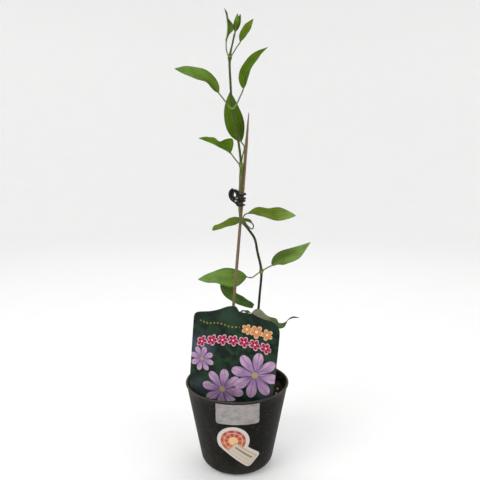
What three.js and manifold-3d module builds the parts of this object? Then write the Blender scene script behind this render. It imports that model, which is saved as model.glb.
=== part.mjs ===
// Potted clematis: a young climber tied to a bamboo cane in a nursery pot of soil,
// with a picture card standing in the soil and two paper stickers on the pot.
// Millimetres, +Z up. The origin is the centre of the pot's flat base.

import * as THREE from 'three';
import { mergeVertices } from 'three/addons/utils/BufferGeometryUtils.js';
import Module from 'manifold-3d';

const wasm = await Module();
wasm.setup();

// Pot
const POT_HEIGHT = 75;
const WALL_TOP_RADIUS = 44.2;
const WALL_FOOT_RADIUS = 30;
const FOOT_CORNER_RADIUS = 11;
const POT_WALL = 1.2;
const RIM_BEAD = 0.9;
const BEAD_SECTION = [[0.8, 0.4], [1, 1.3], [0.4, 2], [-0.8, 2]];
const POT_SIDES = 48;
const CORNER_STEPS = 5;
const DRAIN_COUNT = 8;
const DRAIN_RADIUS = 2.6;
const DRAIN_SIDES = 10;
const DRAIN_RING_RADIUS = 14;

// Soil
const SOIL_LEVEL = 66.5;
const SOIL_RINGS = 8;
const SOIL_LUMP = 0.8;
const SOIL_EDGE_DROP = 1.2;
const SOIL_EDGE_WIDTH = 5;

// Cane, stem and tie
const CANE_RADIUS = 1.3;
const CANE_POINT_LENGTH = 26;
const CANE_POINT_RADIUS = 0.4;
const ROD_SIDES = 8;
const STEM_FOOT_RADIUS = 1.15;
const STEM_TOP_RADIUS = 0.85;
const NODE_SWELLING = 0.75;
const NODE_SWELLING_LENGTH = 1.7;
const NODE_RINGS = [-2.6, -1.3, 0, 1.3, 2.6];
const STEM_STEPS = 42;
const STEM_LEAST_STEP = 0.8;
const STEM_SEARCH_STEPS = 1500;
const TIE_RADIUS = 0.7;
const TIE_STEP = 1.45;

// Leaves
const BLADE_THICKNESS = 0.8;
const BLADE_TIP_HALF_WIDTH = 0.3;
const BLADE_STEPS = 12;
const BLADE_CELLS = 4;
const BLADE_ROUNDNESS = 0.85;
const BLADE_FOLD_SOFTNESS = 1.2;
const BLADE_ABOVE_RIB = 0.15;
const WAVES_PER_BLADE = 2.2;
const PETIOLE_RADIUS = 0.58;
const PETIOLE_SIDES = 6;
const PETIOLE_STEP = 2.8;
const RIB_END_RADIUS = 0.4;
const RIB_SHARE = 0.55;

// Card and stickers
const CARD_THICKNESS = 0.6;
const CARD_CURVE_RADIUS = 173;
const STICKER_THICKNESS = 0.3;
const STICKER_GAP = 0.12;

// Clearance between pieces that stand in or against each other
const GAP = 0.3;

const FINISHES = {
  pot: { color: 0x262521, roughness: 0.45 },
  soil: { color: 0x1d1a16, roughness: 1 },
  cane: { color: 0x78644a, roughness: 0.7 },
  stem: { color: 0x3c5a24, roughness: 0.6 },
  tie: { color: 0x111111, roughness: 0.3 },
  leaf: { color: 0x5a8c3c, roughness: 0.5 },
  youngLeaf: { color: 0x4f7f2e, roughness: 0.5 },
  card: { color: 0x2c4a35, roughness: 0.35 },
  paper: { color: 0xb9b7bb, roughness: 0.7 },
  sticker: { color: 0xd9875f, roughness: 0.5 },
};

const group = new THREE.Group();

function vector(point) {
  return new THREE.Vector3(point[0], point[1], point[2]);
}

function smoothCurve(points) {
  return new THREE.CatmullRomCurve3(points.map(vector), false, 'centripetal');
}

function toSolid(geometry) {
  const bare = new THREE.BufferGeometry();
  bare.setAttribute('position', geometry.getAttribute('position').clone());
  if (geometry.index) bare.setIndex(geometry.index.clone());
  const merged = mergeVertices(bare, 1e-4);
  const corners = merged.index.array;
  const triangles = [];
  for (let i = 0; i < corners.length; i += 3) {
    const [a, b, c] = [corners[i], corners[i + 1], corners[i + 2]];
    if (a !== b && b !== c && c !== a) triangles.push(a, b, c);
  }
  return new wasm.Manifold(new wasm.Mesh({
    numProp: 3,
    vertProperties: new Float32Array(merged.getAttribute('position').array),
    triVerts: new Uint32Array(triangles),
  }));
}

function toGeometry(solid) {
  const mesh = solid.getMesh();
  const geometry = new THREE.BufferGeometry();
  geometry.setAttribute('position', new THREE.BufferAttribute(new Float32Array(mesh.vertProperties), 3));
  geometry.setIndex(new THREE.BufferAttribute(new Uint32Array(mesh.triVerts), 1));
  geometry.computeVertexNormals();
  return geometry;
}

function addPiece(name, solid, finish) {
  const mesh = new THREE.Mesh(toGeometry(solid), new THREE.MeshStandardMaterial(finish));
  mesh.name = name;
  group.add(mesh);
}

// Stations along a curve, each with a frame carried forward without twist.
function stationsAlong(curve, shares, startNormal) {
  const normal = startNormal.clone();
  return shares.map((share) => {
    const tangent = curve.getTangentAt(share);
    normal.addScaledVector(tangent, -normal.dot(tangent)).normalize();
    const side = new THREE.Vector3().crossVectors(normal, tangent);
    return { point: curve.getPointAt(share), normal: normal.clone(), side };
  });
}

// A route drawn out by a little at both ends, for a hole that a rod stands in.
function lengthened(path, extra) {
  const longer = path.map((point) => [...point]);
  longer[0][2] -= extra;
  longer[longer.length - 1][2] += extra;
  return longer;
}

function evenShares(count) {
  return Array.from({ length: count + 1 }, (_, i) => i / count);
}

// A round rod along a curve: the rings of a unit cylinder are carried to the stations.
function rod(curve, shares, sides, radiusAt, startNormal = new THREE.Vector3(1, 0.2, 0.1)) {
  const stations = stationsAlong(curve, shares, startNormal);
  const last = stations.length - 1;
  const geometry = new THREE.CylinderGeometry(1, 1, 1, sides, last);
  const position = geometry.getAttribute('position');
  for (let i = 0; i < position.count; i += 1) {
    const ring = Math.round((position.getY(i) + 0.5) * last);
    const { point, normal, side } = stations[ring];
    const radius = radiusAt(shares[ring]);
    const placed = point.clone();
    placed.addScaledVector(normal, position.getX(i) * radius);
    placed.addScaledVector(side, position.getZ(i) * radius);
    position.setXYZ(i, placed.x, placed.y, placed.z);
  }
  return toSolid(geometry);
}

// The pot's wall line, set in or out by an offset from its outer face.
const wallSlope = Math.atan2(WALL_TOP_RADIUS - WALL_FOOT_RADIUS, POT_HEIGHT);
const cornerCentre = new THREE.Vector2(
  WALL_FOOT_RADIUS - (FOOT_CORNER_RADIUS * (1 - Math.sin(wallSlope))) / Math.cos(wallSlope),
  FOOT_CORNER_RADIUS,
);

function wallRadius(height, offset) {
  return WALL_FOOT_RADIUS + height * Math.tan(wallSlope) + offset / Math.cos(wallSlope);
}

function cornerArc(offset, steps) {
  const points = [];
  for (let i = 0; i <= steps; i += 1) {
    const angle = -Math.PI / 2 + (i / steps) * (Math.PI / 2 - wallSlope);
    const reach = FOOT_CORNER_RADIUS + offset;
    points.push(new THREE.Vector2(
      cornerCentre.x + reach * Math.cos(angle),
      cornerCentre.y + reach * Math.sin(angle),
    ));
  }
  return points;
}

function lathed(profile) {
  return new THREE.LatheGeometry(profile, POT_SIDES).rotateX(Math.PI / 2);
}

function buildPot() {
  const beadFoot = POT_HEIGHT - 2 * RIM_BEAD;
  const lip = wallRadius(beadFoot, 0);
  const inside = wallRadius(beadFoot, -POT_WALL);
  const outerCorner = cornerArc(0, CORNER_STEPS);
  const innerCorner = cornerArc(-POT_WALL, CORNER_STEPS).reverse();
  const profile = [
    new THREE.Vector2(0, 0),
    ...outerCorner,
    new THREE.Vector2(lip, beadFoot),
    ...BEAD_SECTION.map(([out, up]) => new THREE.Vector2(lip + out * RIM_BEAD, beadFoot + up * RIM_BEAD)),
    new THREE.Vector2(inside, beadFoot + RIM_BEAD),
    ...innerCorner,
    new THREE.Vector2(0, POT_WALL),
  ];
  let pot = toSolid(lathed(profile));
  for (let i = 0; i < DRAIN_COUNT; i += 1) {
    const angle = ((i + 0.5) / DRAIN_COUNT) * 2 * Math.PI;
    const drain = new THREE.CylinderGeometry(DRAIN_RADIUS, DRAIN_RADIUS, 4 * POT_WALL, DRAIN_SIDES);
    drain.rotateX(Math.PI / 2);
    drain.translate(DRAIN_RING_RADIUS * Math.cos(angle), DRAIN_RING_RADIUS * Math.sin(angle), 0);
    pot = pot.subtract(toSolid(drain));
  }
  return pot;
}

// Low lumps on the soil, from crossed waves that never repeat in step.
function soilHeight(x, y) {
  const broad = Math.sin(0.21 * x + 1.3) * Math.cos(0.24 * y - 0.4);
  const fine = Math.sin(0.63 * x - 0.5 * y + 2.1) + Math.cos(0.47 * x + 0.71 * y);
  return SOIL_LEVEL + SOIL_LUMP * (0.9 * broad + 0.45 * fine);
}

function buildSoil() {
  const offset = -(POT_WALL + GAP);
  const edge = wallRadius(SOIL_LEVEL - SOIL_EDGE_DROP, offset);
  const rings = evenShares(SOIL_RINGS).map((share) => new THREE.Vector2(edge * (1 - share), SOIL_LEVEL));
  const profile = [
    new THREE.Vector2(0, POT_WALL + GAP),
    ...cornerArc(offset, CORNER_STEPS),
    ...rings,
  ];
  const geometry = lathed(profile);
  const position = geometry.getAttribute('position');
  for (let i = 0; i < position.count; i += 1) {
    if (position.getZ(i) < SOIL_LEVEL - GAP) continue;
    const reach = Math.hypot(position.getX(i), position.getY(i));
    const share = THREE.MathUtils.clamp((edge - reach) / SOIL_EDGE_WIDTH, 0, 1);
    const height = soilHeight(position.getX(i), position.getY(i));
    position.setZ(i, THREE.MathUtils.lerp(SOIL_LEVEL - SOIL_EDGE_DROP, height, share));
  }
  return toSolid(geometry);
}

// The cane leans a little to the right and ends in a cut point.
const CANE_PATH = [
  [-13.2, 0, 13],
  [-8.7, 0, 69],
  [-2.9, 0, 144],
  [3.3, 0, 220],
  [9.6, 0, 303],
];

function buildCane(extra) {
  const curve = smoothCurve(lengthened(CANE_PATH, extra));
  const pointShare = CANE_POINT_LENGTH / curve.getLength();
  const shares = [0, 0.2, 0.4, 0.6, 0.8, 1 - pointShare, 1 - pointShare * 0.4, 1];
  return rod(curve, shares, ROD_SIDES, (share) => {
    const toTip = THREE.MathUtils.clamp((1 - share) / pointShare, 0, 1);
    return THREE.MathUtils.lerp(CANE_POINT_RADIUS, CANE_RADIUS, toTip ** 0.8) + extra;
  });
}

// The stem's route from deep in the soil to the shoot tip, with its leaf nodes.
const STEM_NODES = [
  [17.6, 5.6, 125],
  [20.7, 4, 171.3],
  [3.7, -4, 216],
  [3.4, -2.6, 261],
  [-3.6, -7, 305.5],
  [-5.5, -7, 344.7],
];

const STEM_PATH = [
  [10, 6, 42],
  [13.2, 6, 66.5],
  [16.3, 6, 100],
  STEM_NODES[0],
  [19.4, 4.6, 150],
  STEM_NODES[1],
  [17.3, 2, 188],
  [14.7, 0, 200],
  [9.2, -2.4, 208.5],
  STEM_NODES[2],
  [1.9, -2.6, 228],
  [2.2, -2.2, 238],
  [3.1, -2.5, 249],
  STEM_NODES[3],
  [1.2, -3.4, 280],
  STEM_NODES[4],
  [-5, -7, 325],
  STEM_NODES[5],
  [-3.2, -7, 356],
  [-1.8, -7, 362.5],
];

function shareNearest(curve, target) {
  let best = 0;
  let bestDistance = Infinity;
  for (const share of evenShares(STEM_SEARCH_STEPS)) {
    const distance = curve.getPointAt(share).distanceTo(target);
    if (distance < bestDistance) {
      bestDistance = distance;
      best = share;
    }
  }
  return best;
}

const stemCurve = smoothCurve(STEM_PATH);
const stemLength = stemCurve.getLength();
const nodeShares = STEM_NODES.map((point) => shareNearest(stemCurve, vector(point)));

function stemRadius(share) {
  let radius = THREE.MathUtils.lerp(STEM_FOOT_RADIUS, STEM_TOP_RADIUS, share);
  for (const nodeShare of nodeShares) {
    const away = ((share - nodeShare) * stemLength) / NODE_SWELLING_LENGTH;
    radius += NODE_SWELLING * Math.exp(-away * away);
  }
  return radius;
}

function buildStem(extra) {
  const curve = smoothCurve(lengthened(STEM_PATH, extra));
  const shares = evenShares(STEM_STEPS);
  for (const nodeShare of nodeShares) {
    for (const step of NODE_RINGS) {
      shares.push(nodeShare + step / stemLength);
    }
  }
  shares.sort((a, b) => a - b);
  const leastStep = STEM_LEAST_STEP / stemLength;
  const spread = shares.filter((share, i) => i === 0 || share - shares[i - 1] > leastStep);
  return rod(curve, spread, ROD_SIDES, (share) => stemRadius(share) + extra);
}

// Black wire tie: it starts in an open curl on the left, winds up round stem and cane,
// and ends in two smaller curls inside and in front of the first.
const TIE_CENTRE_LOW = vector([2.7, -1.3, 228]);
const TIE_CENTRE_HIGH = vector([3.7, -1.15, 241]);
const TIE_LONG_RADIUS = 4;
const TIE_SHORT_RADIUS = 2.95;
const TIE_LONG_WAY = THREE.MathUtils.degToRad(47);
const TIE_START_ANGLE = THREE.MathUtils.degToRad(-120);
const TIE_STEPS_PER_TURN = 12;
const TIE_STEPS = 45;
const TIE_HALF_TURN_HEIGHTS = [228.3, 228.2, 231.3, 231.8, 233.1, 233.9, 236.4, 237.6, 240.9];

const TIE_START_CURL = [
  [-2.7, -5.3, 241.6],
  [-4.1, -5.3, 241.5],
  [-5.6, -5.3, 240],
  [-6.2, -5.4, 237.7],
  [-5.9, -5.5, 235.5],
  [-4.7, -5.6, 233.3],
  [-2.2, -5.6, 231.3],
  [-0.5, -5.4, 229.9],
];

const TIE_END_CURL = [
  [-0.7, -1.6, 240.5],
  [-2.2, -3.6, 240.7],
  [-3.8, -4.1, 239.8],
  [-4.7, -4.2, 237.8],
  [-4.4, -4.3, 235.7],
  [-3.2, -4.6, 234],
  [-1.6, -5.4, 233],
  [0.2, -6.5, 233.2],
  [1.4, -6.8, 234.9],
  [1.6, -6.9, 237],
  [0.9, -6.7, 239],
  [-0.7, -6.3, 240],
  [-2.3, -6.1, 239.6],
  [-3.2, -6, 238.2],
  [-3.2, -6, 236.4],
  [-2.1, -6.2, 235.1],
  [-0.7, -6.4, 235.2],
  [-0.1, -6.5, 236.5],
  [-0.5, -6.5, 237.6],
];

function tieTurns() {
  const points = [];
  for (let i = 0; i <= TIE_STEPS; i += 1) {
    const turns = i / TIE_STEPS_PER_TURN;
    const angle = TIE_START_ANGLE - TIE_LONG_WAY + turns * 2 * Math.PI;
    const along = TIE_LONG_RADIUS * Math.cos(angle);
    const across = TIE_SHORT_RADIUS * Math.sin(angle);
    const centre = TIE_CENTRE_LOW.clone().lerp(TIE_CENTRE_HIGH, i / TIE_STEPS);
    centre.x += along * Math.cos(TIE_LONG_WAY) - across * Math.sin(TIE_LONG_WAY);
    centre.y += along * Math.sin(TIE_LONG_WAY) + across * Math.cos(TIE_LONG_WAY);
    const half = Math.floor(2 * turns);
    const [low, high] = TIE_HALF_TURN_HEIGHTS.slice(half, half + 2);
    points.push([centre.x, centre.y, THREE.MathUtils.lerp(low, high, 2 * turns - half)]);
  }
  return points;
}

function buildTie() {
  const curve = smoothCurve([...TIE_START_CURL, ...tieTurns(), ...TIE_END_CURL]);
  const shares = evenShares(Math.round(curve.getLength() / TIE_STEP));
  return rod(curve, shares, ROD_SIDES, () => TIE_RADIUS);
}

// Each leaf: its stalk from the stem's node to the blade, the blade's middle line to
// the tip, the blade's full width, where along it it is widest, the way its upper face
// looks at the base and at the tip, its fold in degrees, and the wave of its edges.
// edges lists where one edge bulges or draws in: its side, where along the blade, over
// what share of it, and by how much.
const LEAVES = [
  {
    name: 'leaf_0_left',
    stalk: [
      [17.6, 5.6, 125], [12, 8.5, 121.5], [4, 7.5, 121.5], [-2, 4.6, 126.5],
      [-3.6, 2.7, 135], [-2.8, 2.6, 145], [-2.3, 5, 151], [-2.7, 10, 154],
      [-6, 15, 159.5], [-10, 18, 162.6], [-13, 18.8, 161.6],
    ],
    blade: [
      [-13.1, 17.9, 158.8], [-11.2, 16.3, 154.8], [-8.6, 15.5, 150.2], [-1.2, 14.5, 145],
      [7.4, 13, 140.8], [14.2, 11.5, 137.8],
    ],
    width: 10.4,
    widest: 0.42,
    face: [[0.2, -0.85, 0.45], [0.2, -0.85, 0.45]],
    fold: 10,
    wave: 0.4,
    edges: [
      [1, 1, 0.28, 1.9], [-1, 1, 0.28, 1.9], [-1, 0.5, 0.15, -1.2], [-1, 0.2, 0.13, 2.8],
      [1, 0.08, 0.12, 1.2], [-1, 0.78, 0.12, -0.8],
    ],
  },
  {
    name: 'leaf_0_right',
    stalk: [[17.6, 5.6, 125], [14.5, 3.5, 123], [10.5, 0, 124.5], [9.6, -3, 129]],
    blade: [
      [11.4, -4.5, 133.1], [17.7, -7, 132.5], [24.4, -10, 130.9], [31, -13, 129.2], [36.3, -16, 128.7],
      [39.4, -17.5, 131.3], [42.1, -18.5, 134.8], [45.6, -19, 136.7], [51.8, -20, 137.1],
    ],
    width: 13,
    widest: 0.3,
    face: [[0.25, 0.8, 0.5], [0.1, 0.7, 0.65]],
    fold: 10,
    wave: 0.4,
    edges: [
      [1, 0.15, 0.12, 5], [1, 0.52, 0.1, 1.8], [1, 0.74, 0.12, -3], [-1, 0.76, 0.16, -2.8],
      [1, 0.88, 0.07, 0.5],
    ],
  },
  {
    name: 'leaf_1_left',
    stalk: [[20.7, 4, 171.3], [16.8, 5.6, 168], [13, 7, 165], [10.5, 8, 164.6]],
    blade: [[8.3, 9, 165], [-0.1, 11, 163.8], [-13.2, 13, 163], [-24, 14, 162.2], [-34.3, 14, 161.5]],
    width: 18,
    widest: 0.4,
    face: [[0, -0.8, 0.6], [0.1, -0.75, 0.65]],
    fold: 9,
    wave: 0.7,
    edges: [[-1, 0.6, 0.16, -2.2], [-1, 0.2, 0.14, 2.2]],
  },
  {
    name: 'leaf_1_right',
    stalk: [[20.7, 4, 171.3], [23, 2.5, 172.8], [26, 0.8, 175]],
    blade: [[29.4, -1, 177.2], [34, -2.6, 180.6], [41, -5.4, 184.4], [50, -9.4, 189.4], [60, -15, 199.3]],
    width: 14.5,
    widest: 0.34,
    face: [[-0.15, -0.72, 0.68], [-0.2, -0.8, 0.5]],
    fold: 20,
    wave: 0.5,
    edges: [[1, 0.14, 0.12, -2.3], [1, 0.55, 0.2, 1.2]],
  },
  {
    name: 'leaf_2_left',
    stalk: [
      [3.7, -4, 216], [6.1, -1.2, 214.6], [8.6, 1.3, 210.8],
      [12, 3.6, 207.7], [13.4, 5.6, 207.9], [13.9, 7.2, 210],
    ],
    blade: [[12.9, 8.4, 211.6], [9.6, 9.2, 213.7], [0.8, 9, 213.9], [-9, 7, 211], [-20.8, 4, 206.3]],
    width: 10,
    widest: 0.5,
    face: [[0.1, -0.35, 0.93], [-0.1, -0.62, 0.78]],
    fold: 8,
    wave: 0.6,
    edges: [[1, 0.92, 0.08, 2], [-1, 0.97, 0.05, 0.5], [1, 0.1, 0.1, 0.8], [-1, 0.1, 0.1, 0.8]],
  },
  {
    name: 'leaf_2_right',
    stalk: [[3.7, -4, 216], [5, -4.8, 218.2]],
    blade: [[6.8, -6, 221], [15, -8.4, 223], [27, -11.6, 222], [37, -14, 221.2], [47.5, -16, 221]],
    width: 13.5,
    widest: 0.6,
    face: [[0, -0.55, 0.83], [0.1, -0.8, 0.6]],
    fold: 8,
    wave: 0.8,
    edges: [[-1, 0.2, 0.14, 1.6]],
  },
  {
    name: 'leaf_3_left',
    stalk: [[3.4, -2.6, 261], [1, -5, 263], [-1.9, -7.5, 266.5]],
    blade: [[-5, -10, 270.5], [-11.7, -14, 274.5], [-20.2, -18, 278.5], [-29.7, -22, 282]],
    width: 18,
    widest: 0.22,
    face: [[0.1, -0.72, 0.7], [0.1, -0.6, 0.8]],
    fold: 38,
    wave: 0.9,
    edges: [[1, 0.44, 0.12, -4.4], [1, 0.13, 0.11, 2.2]],
  },
  {
    name: 'leaf_3_right',
    stalk: [[3.4, -2.6, 261], [3.7, 0.4, 263], [4.5, 3, 268], [5.8, 4.4, 273], [5.9, 5.2, 276.5]],
    blade: [[3.4, 6, 280], [-1, 6.2, 291], [-4.3, 5.4, 304], [-5.6, 3.6, 320]],
    width: 16.8,
    widest: 0.42,
    face: [[0, -0.95, -0.25], [0, -0.95, 0.1]],
    fold: 11,
    wave: 0.7,
    edges: [[-1, 0.5, 0.3, -1]],
  },
  {
    name: 'leaf_4_left',
    stalk: [[-3.6, -7, 305.5], [-6.6, -9.6, 308], [-10, -12, 312]],
    blade: [
      [-14.2, -13.6, 317.2], [-17.4, -15.4, 322], [-22.6, -17.4, 326.6],
      [-34, -20.2, 331], [-47.5, -22, 334],
    ],
    width: 12,
    widest: 0.42,
    face: [[0.2, -0.9, 0.4], [0, -0.88, 0.47]],
    fold: 12,
    wave: 0.6,
    edges: [[-1, 0.38, 0.17, -2.8], [1, 0.75, 0.15, 0.8]],
  },
  {
    name: 'leaf_4_right',
    stalk: [[-3.6, -7, 305.5], [-0.4, -5.2, 309], [2.3, -4, 314.6]],
    blade: [[5.2, -3, 321.6], [6, -2.4, 330], [9, -1.6, 338], [16.6, 0, 348], [24.8, 1, 354]],
    width: 10,
    widest: 0.36,
    face: [[-0.25, -0.95, 0.1], [-0.4, -0.85, 0.3]],
    fold: 18,
    wave: 0.5,
    edges: [[1, 0.35, 0.25, -1.2]],
  },
  {
    name: 'leaf_5_left',
    stalk: [[-5.5, -7, 344.7], [-7.9, -5.7, 349.5], [-8.4, -4.8, 354.5]],
    blade: [[-8, -4.3, 358.6], [-6.9, -3.8, 363], [-6.7, -3, 369.5], [-8.2, -2, 377], [-10, -1, 383]],
    width: 7,
    widest: 0.38,
    face: [[0.75, -0.65, 0], [0.8, -0.6, 0]],
    fold: 48,
    wave: 0.3,
    edges: [[1, 0.15, 0.13, -1.3], [1, 0.66, 0.14, -1.2]],
  },
  {
    name: 'leaf_5_right',
    stalk: [[-5.5, -7, 344.7], [-3, -8.6, 347.6], [-0.4, -10.2, 351.4]],
    blade: [[2.7, -12, 355.4], [4.6, -13, 360], [8, -14.5, 364.6], [12.8, -16, 371.6]],
    width: 7.6,
    widest: 0.44,
    face: [[-0.4, -0.9, 0.1], [-0.4, -0.9, 0.1]],
    fold: 18,
    wave: 0.3,
    edges: [[-1, 0.3, 0.2, -0.6]],
  },
];

// Two clasped young leaves close the shoot.
const TIP_LEAVES = [
  {
    stalk: [[-2.3, -7, 360], [-1.9, -7.2, 361.5]],
    blade: [[-1.5, -7.5, 363.4], [-0.6, -8.1, 369], [0.6, -7.9, 377.6]],
    width: 5.2,
    widest: 0.46,
    face: [[0.1, 0.99, 0], [0.1, 0.99, 0]],
    fold: 30,
    wave: 0,
  },
  {
    stalk: [[-2.3, -7, 360], [-1.7, -6.8, 361.5]],
    blade: [[-1.3, -6.7, 363.6], [0.6, -5.5, 370], [3, -5.8, 377.4]],
    width: 4.6,
    widest: 0.46,
    face: [[-0.2, -0.98, 0], [-0.2, -0.98, 0]],
    fold: 6,
    wave: 0,
  },
];

function bladeHalfWidth(leaf, share, edge) {
  const bend = Math.log(0.5) / Math.log(leaf.widest);
  const swell = Math.max(Math.sin(Math.PI * share ** bend), 0) ** BLADE_ROUNDNESS;
  let halfWidth = (leaf.width / 2) * swell;
  for (const [side, where, spread, growth] of leaf.edges ?? []) {
    if (side === edge) halfWidth += growth * Math.exp(-(((share - where) / spread) ** 2));
  }
  return Math.max(halfWidth, BLADE_TIP_HALF_WIDTH);
}

// A blade: one grid of points for the upper face and one for the lower, split into
// triangles alike, with a strip that closes the edge.
function buildBlade(leaf) {
  const curve = smoothCurve(leaf.blade);
  const faceBase = vector(leaf.face[0]);
  const faceTip = vector(leaf.face[1]);
  const fold = THREE.MathUtils.degToRad(leaf.fold);
  const columns = BLADE_CELLS + 1;
  const layer = (BLADE_STEPS + 1) * columns;
  const coordinates = new Float32Array(layer * 2 * 3);
  const half = BLADE_THICKNESS / (2 * Math.cos(fold));
  for (let row = 0; row <= BLADE_STEPS; row += 1) {
    const share = row / BLADE_STEPS;
    const tangent = curve.getTangentAt(share);
    const normal = faceBase.clone().lerp(faceTip, share);
    normal.addScaledVector(tangent, -normal.dot(tangent)).normalize();
    const side = new THREE.Vector3().crossVectors(tangent, normal);
    for (let column = 0; column < columns; column += 1) {
      const across = (2 * column) / BLADE_CELLS - 1;
      const halfWidth = bladeHalfWidth(leaf, share, Math.sign(across));
      const ripple = Math.sin(2 * Math.PI * (WAVES_PER_BLADE * share + 0.25 * Math.sign(across)));
      const wave = leaf.wave * ripple * across * across * Math.sin(Math.PI * share);
      const rise = halfWidth * Math.sin(fold) * Math.abs(across) ** BLADE_FOLD_SOFTNESS + wave;
      const middle = curve.getPointAt(share);
      middle.addScaledVector(side, halfWidth * across * Math.cos(fold));
      middle.addScaledVector(normal, rise + BLADE_ABOVE_RIB);
      const upper = middle.clone().addScaledVector(normal, half);
      const lower = middle.clone().addScaledVector(normal, -half);
      upper.toArray(coordinates, (row * columns + column) * 3);
      lower.toArray(coordinates, (layer + row * columns + column) * 3);
    }
  }
  const triangles = [];
  const quad = (a, b, c, d) => triangles.push(a, b, c, a, c, d);
  for (let row = 0; row < BLADE_STEPS; row += 1) {
    for (let column = 0; column < BLADE_CELLS; column += 1) {
      const a = row * columns + column;
      const [b, c, d] = [a + 1, a + columns + 1, a + columns];
      quad(a, b, c, d);
      triangles.push(layer + a, layer + c, layer + b, layer + a, layer + d, layer + c);
    }
    const first = row * columns;
    const last = first + BLADE_CELLS;
    quad(first, first + columns, layer + first + columns, layer + first);
    quad(last + columns, last, layer + last, layer + last + columns);
  }
  const tipRow = BLADE_STEPS * columns;
  for (let column = 0; column < BLADE_CELLS; column += 1) {
    quad(column + 1, column, layer + column, layer + column + 1);
    const tip = tipRow + column;
    quad(tip, tip + 1, layer + tip + 1, layer + tip);
  }
  const geometry = new THREE.BufferGeometry();
  geometry.setAttribute('position', new THREE.BufferAttribute(coordinates, 3));
  geometry.setIndex(triangles);
  return toSolid(geometry);
}

// The stalk runs on under the blade as its midrib.
function buildStalk(leaf) {
  const curve = smoothCurve([...leaf.stalk, ...leaf.blade]);
  const bladeLength = smoothCurve(leaf.blade).getLength();
  const length = curve.getLength();
  const bladeStart = 1 - bladeLength / length;
  const end = bladeStart + (1 - bladeStart) * RIB_SHARE;
  const shares = evenShares(Math.round((end * length) / PETIOLE_STEP)).map((share) => share * end);
  return rod(curve, shares, PETIOLE_SIDES, (share) => {
    const alongRib = THREE.MathUtils.clamp((share - bladeStart) / (end - bladeStart), 0, 1);
    return THREE.MathUtils.lerp(PETIOLE_RADIUS, RIB_END_RADIUS, alongRib);
  });
}

function buildLeaf(leaf, stemClearance) {
  return buildBlade(leaf).add(buildStalk(leaf)).subtract(stemClearance);
}

// The card is bent round an upright axis, leans to the right and is turned a little.
const CARD_CENTRE = vector([-4, -24.4, 67]);
const CARD_TURN = THREE.MathUtils.degToRad(-11.7);
const CARD_LEAN = THREE.MathUtils.degToRad(4.4);

// The card's outline from left to right: across, height of the lower and upper edge.
const CARD_COLUMNS = [
  [-39.2, 9, 66],
  [-38.6, 5, 69.2],
  [-36.5, 0.5, 71],
  [-34, -2, 72],
  [-31, -3, 72.6],
  [-24, -3, 74.1],
  [-17.5, -3, 76.5],
  [-11.2, -3, 79.8],
  [-9, -3, 80.7],
  [-4.9, -26, 81.6],
  [-2.7, -38, 81.4],
  [-1.2, -44, 79.4],
  [0.2, -45, 77.3],
  [2.2, -40, 77.2],
  [4.3, -29, 77.2],
  [9, -3, 77.1],
  [10.5, -3, 77],
  [14.4, -3, 75.5],
  [20.8, -3, 73.3],
  [25.1, -3, 72.8],
  [28, -2.6, 71.5],
  [30.5, 0, 70],
  [32.4, 5, 68.3],
  [33.6, 14, 66],
  [34.4, 50, 62.5],
];

function cardPoint(across, height, outward) {
  const angle = across / CARD_CURVE_RADIUS;
  const reach = CARD_CURVE_RADIUS + outward;
  const point = new THREE.Vector3(
    reach * Math.sin(angle),
    CARD_CURVE_RADIUS - reach * Math.cos(angle),
    height,
  );
  point.applyAxisAngle(new THREE.Vector3(0, 1, 0), CARD_LEAN);
  point.applyAxisAngle(new THREE.Vector3(0, 0, 1), CARD_TURN);
  return point.add(CARD_CENTRE);
}

function buildCard(extra) {
  const coordinates = [];
  const half = CARD_THICKNESS / 2 + extra;
  for (const [across, low, high] of CARD_COLUMNS) {
    const spread = across + extra * Math.sign(across);
    for (const outward of [half, -half]) {
      coordinates.push(...cardPoint(spread, low - extra, outward).toArray());
      coordinates.push(...cardPoint(spread, high + extra, outward).toArray());
    }
  }
  const triangles = [];
  const quad = (a, b, c, d) => triangles.push(a, b, c, a, c, d);
  const last = (CARD_COLUMNS.length - 1) * 4;
  for (let start = 0; start < last; start += 4) {
    const [frontLow, frontHigh, backLow, backHigh] = [start, start + 1, start + 2, start + 3];
    quad(frontLow, frontLow + 4, frontHigh + 4, frontHigh);
    quad(backLow + 4, backLow, backHigh, backHigh + 4);
    quad(frontHigh, frontHigh + 4, backHigh + 4, backHigh);
    quad(backLow, backLow + 4, frontLow + 4, frontLow);
  }
  quad(0, 1, 3, 2);
  quad(last + 1, last, last + 2, last + 3);
  const geometry = new THREE.BufferGeometry();
  geometry.setAttribute('position', new THREE.BufferAttribute(new Float32Array(coordinates), 3));
  geometry.setIndex(triangles);
  return toSolid(geometry);
}

// Paper stickers follow the facets of the pot's wall: a thin skin of the wall's shape,
// cut to an outline that is drawn from the front.
function buildSkin() {
  const near = STICKER_GAP;
  const far = STICKER_GAP + STICKER_THICKNESS;
  const top = POT_HEIGHT - 2 * RIM_BEAD - GAP;
  const profile = [
    ...cornerArc(far, CORNER_STEPS),
    new THREE.Vector2(wallRadius(top, far), top),
    new THREE.Vector2(wallRadius(top, near), top),
    ...cornerArc(near, CORNER_STEPS).reverse(),
  ];
  profile.push(profile[0].clone());
  return toSolid(lathed(profile));
}

function cutFromSkin(skin, outline) {
  const depth = 2 * WALL_TOP_RADIUS;
  const prism = new THREE.ExtrudeGeometry(outline, { depth, bevelEnabled: false, curveSegments: 6 });
  prism.rotateX(Math.PI / 2);
  return skin.intersect(toSolid(prism));
}

const PAPER_STICKER = { left: -17.2, right: 18.2, bottom: 53.8, top: 72.7, corner: 2 };
const ROUND_STICKER = { x: -3, z: 38.2, radius: 13.4 };
const STICKER_TAB = { reach: 27.8, upperEdge: 3, lean: THREE.MathUtils.degToRad(-40), corner: 2.6 };

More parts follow.
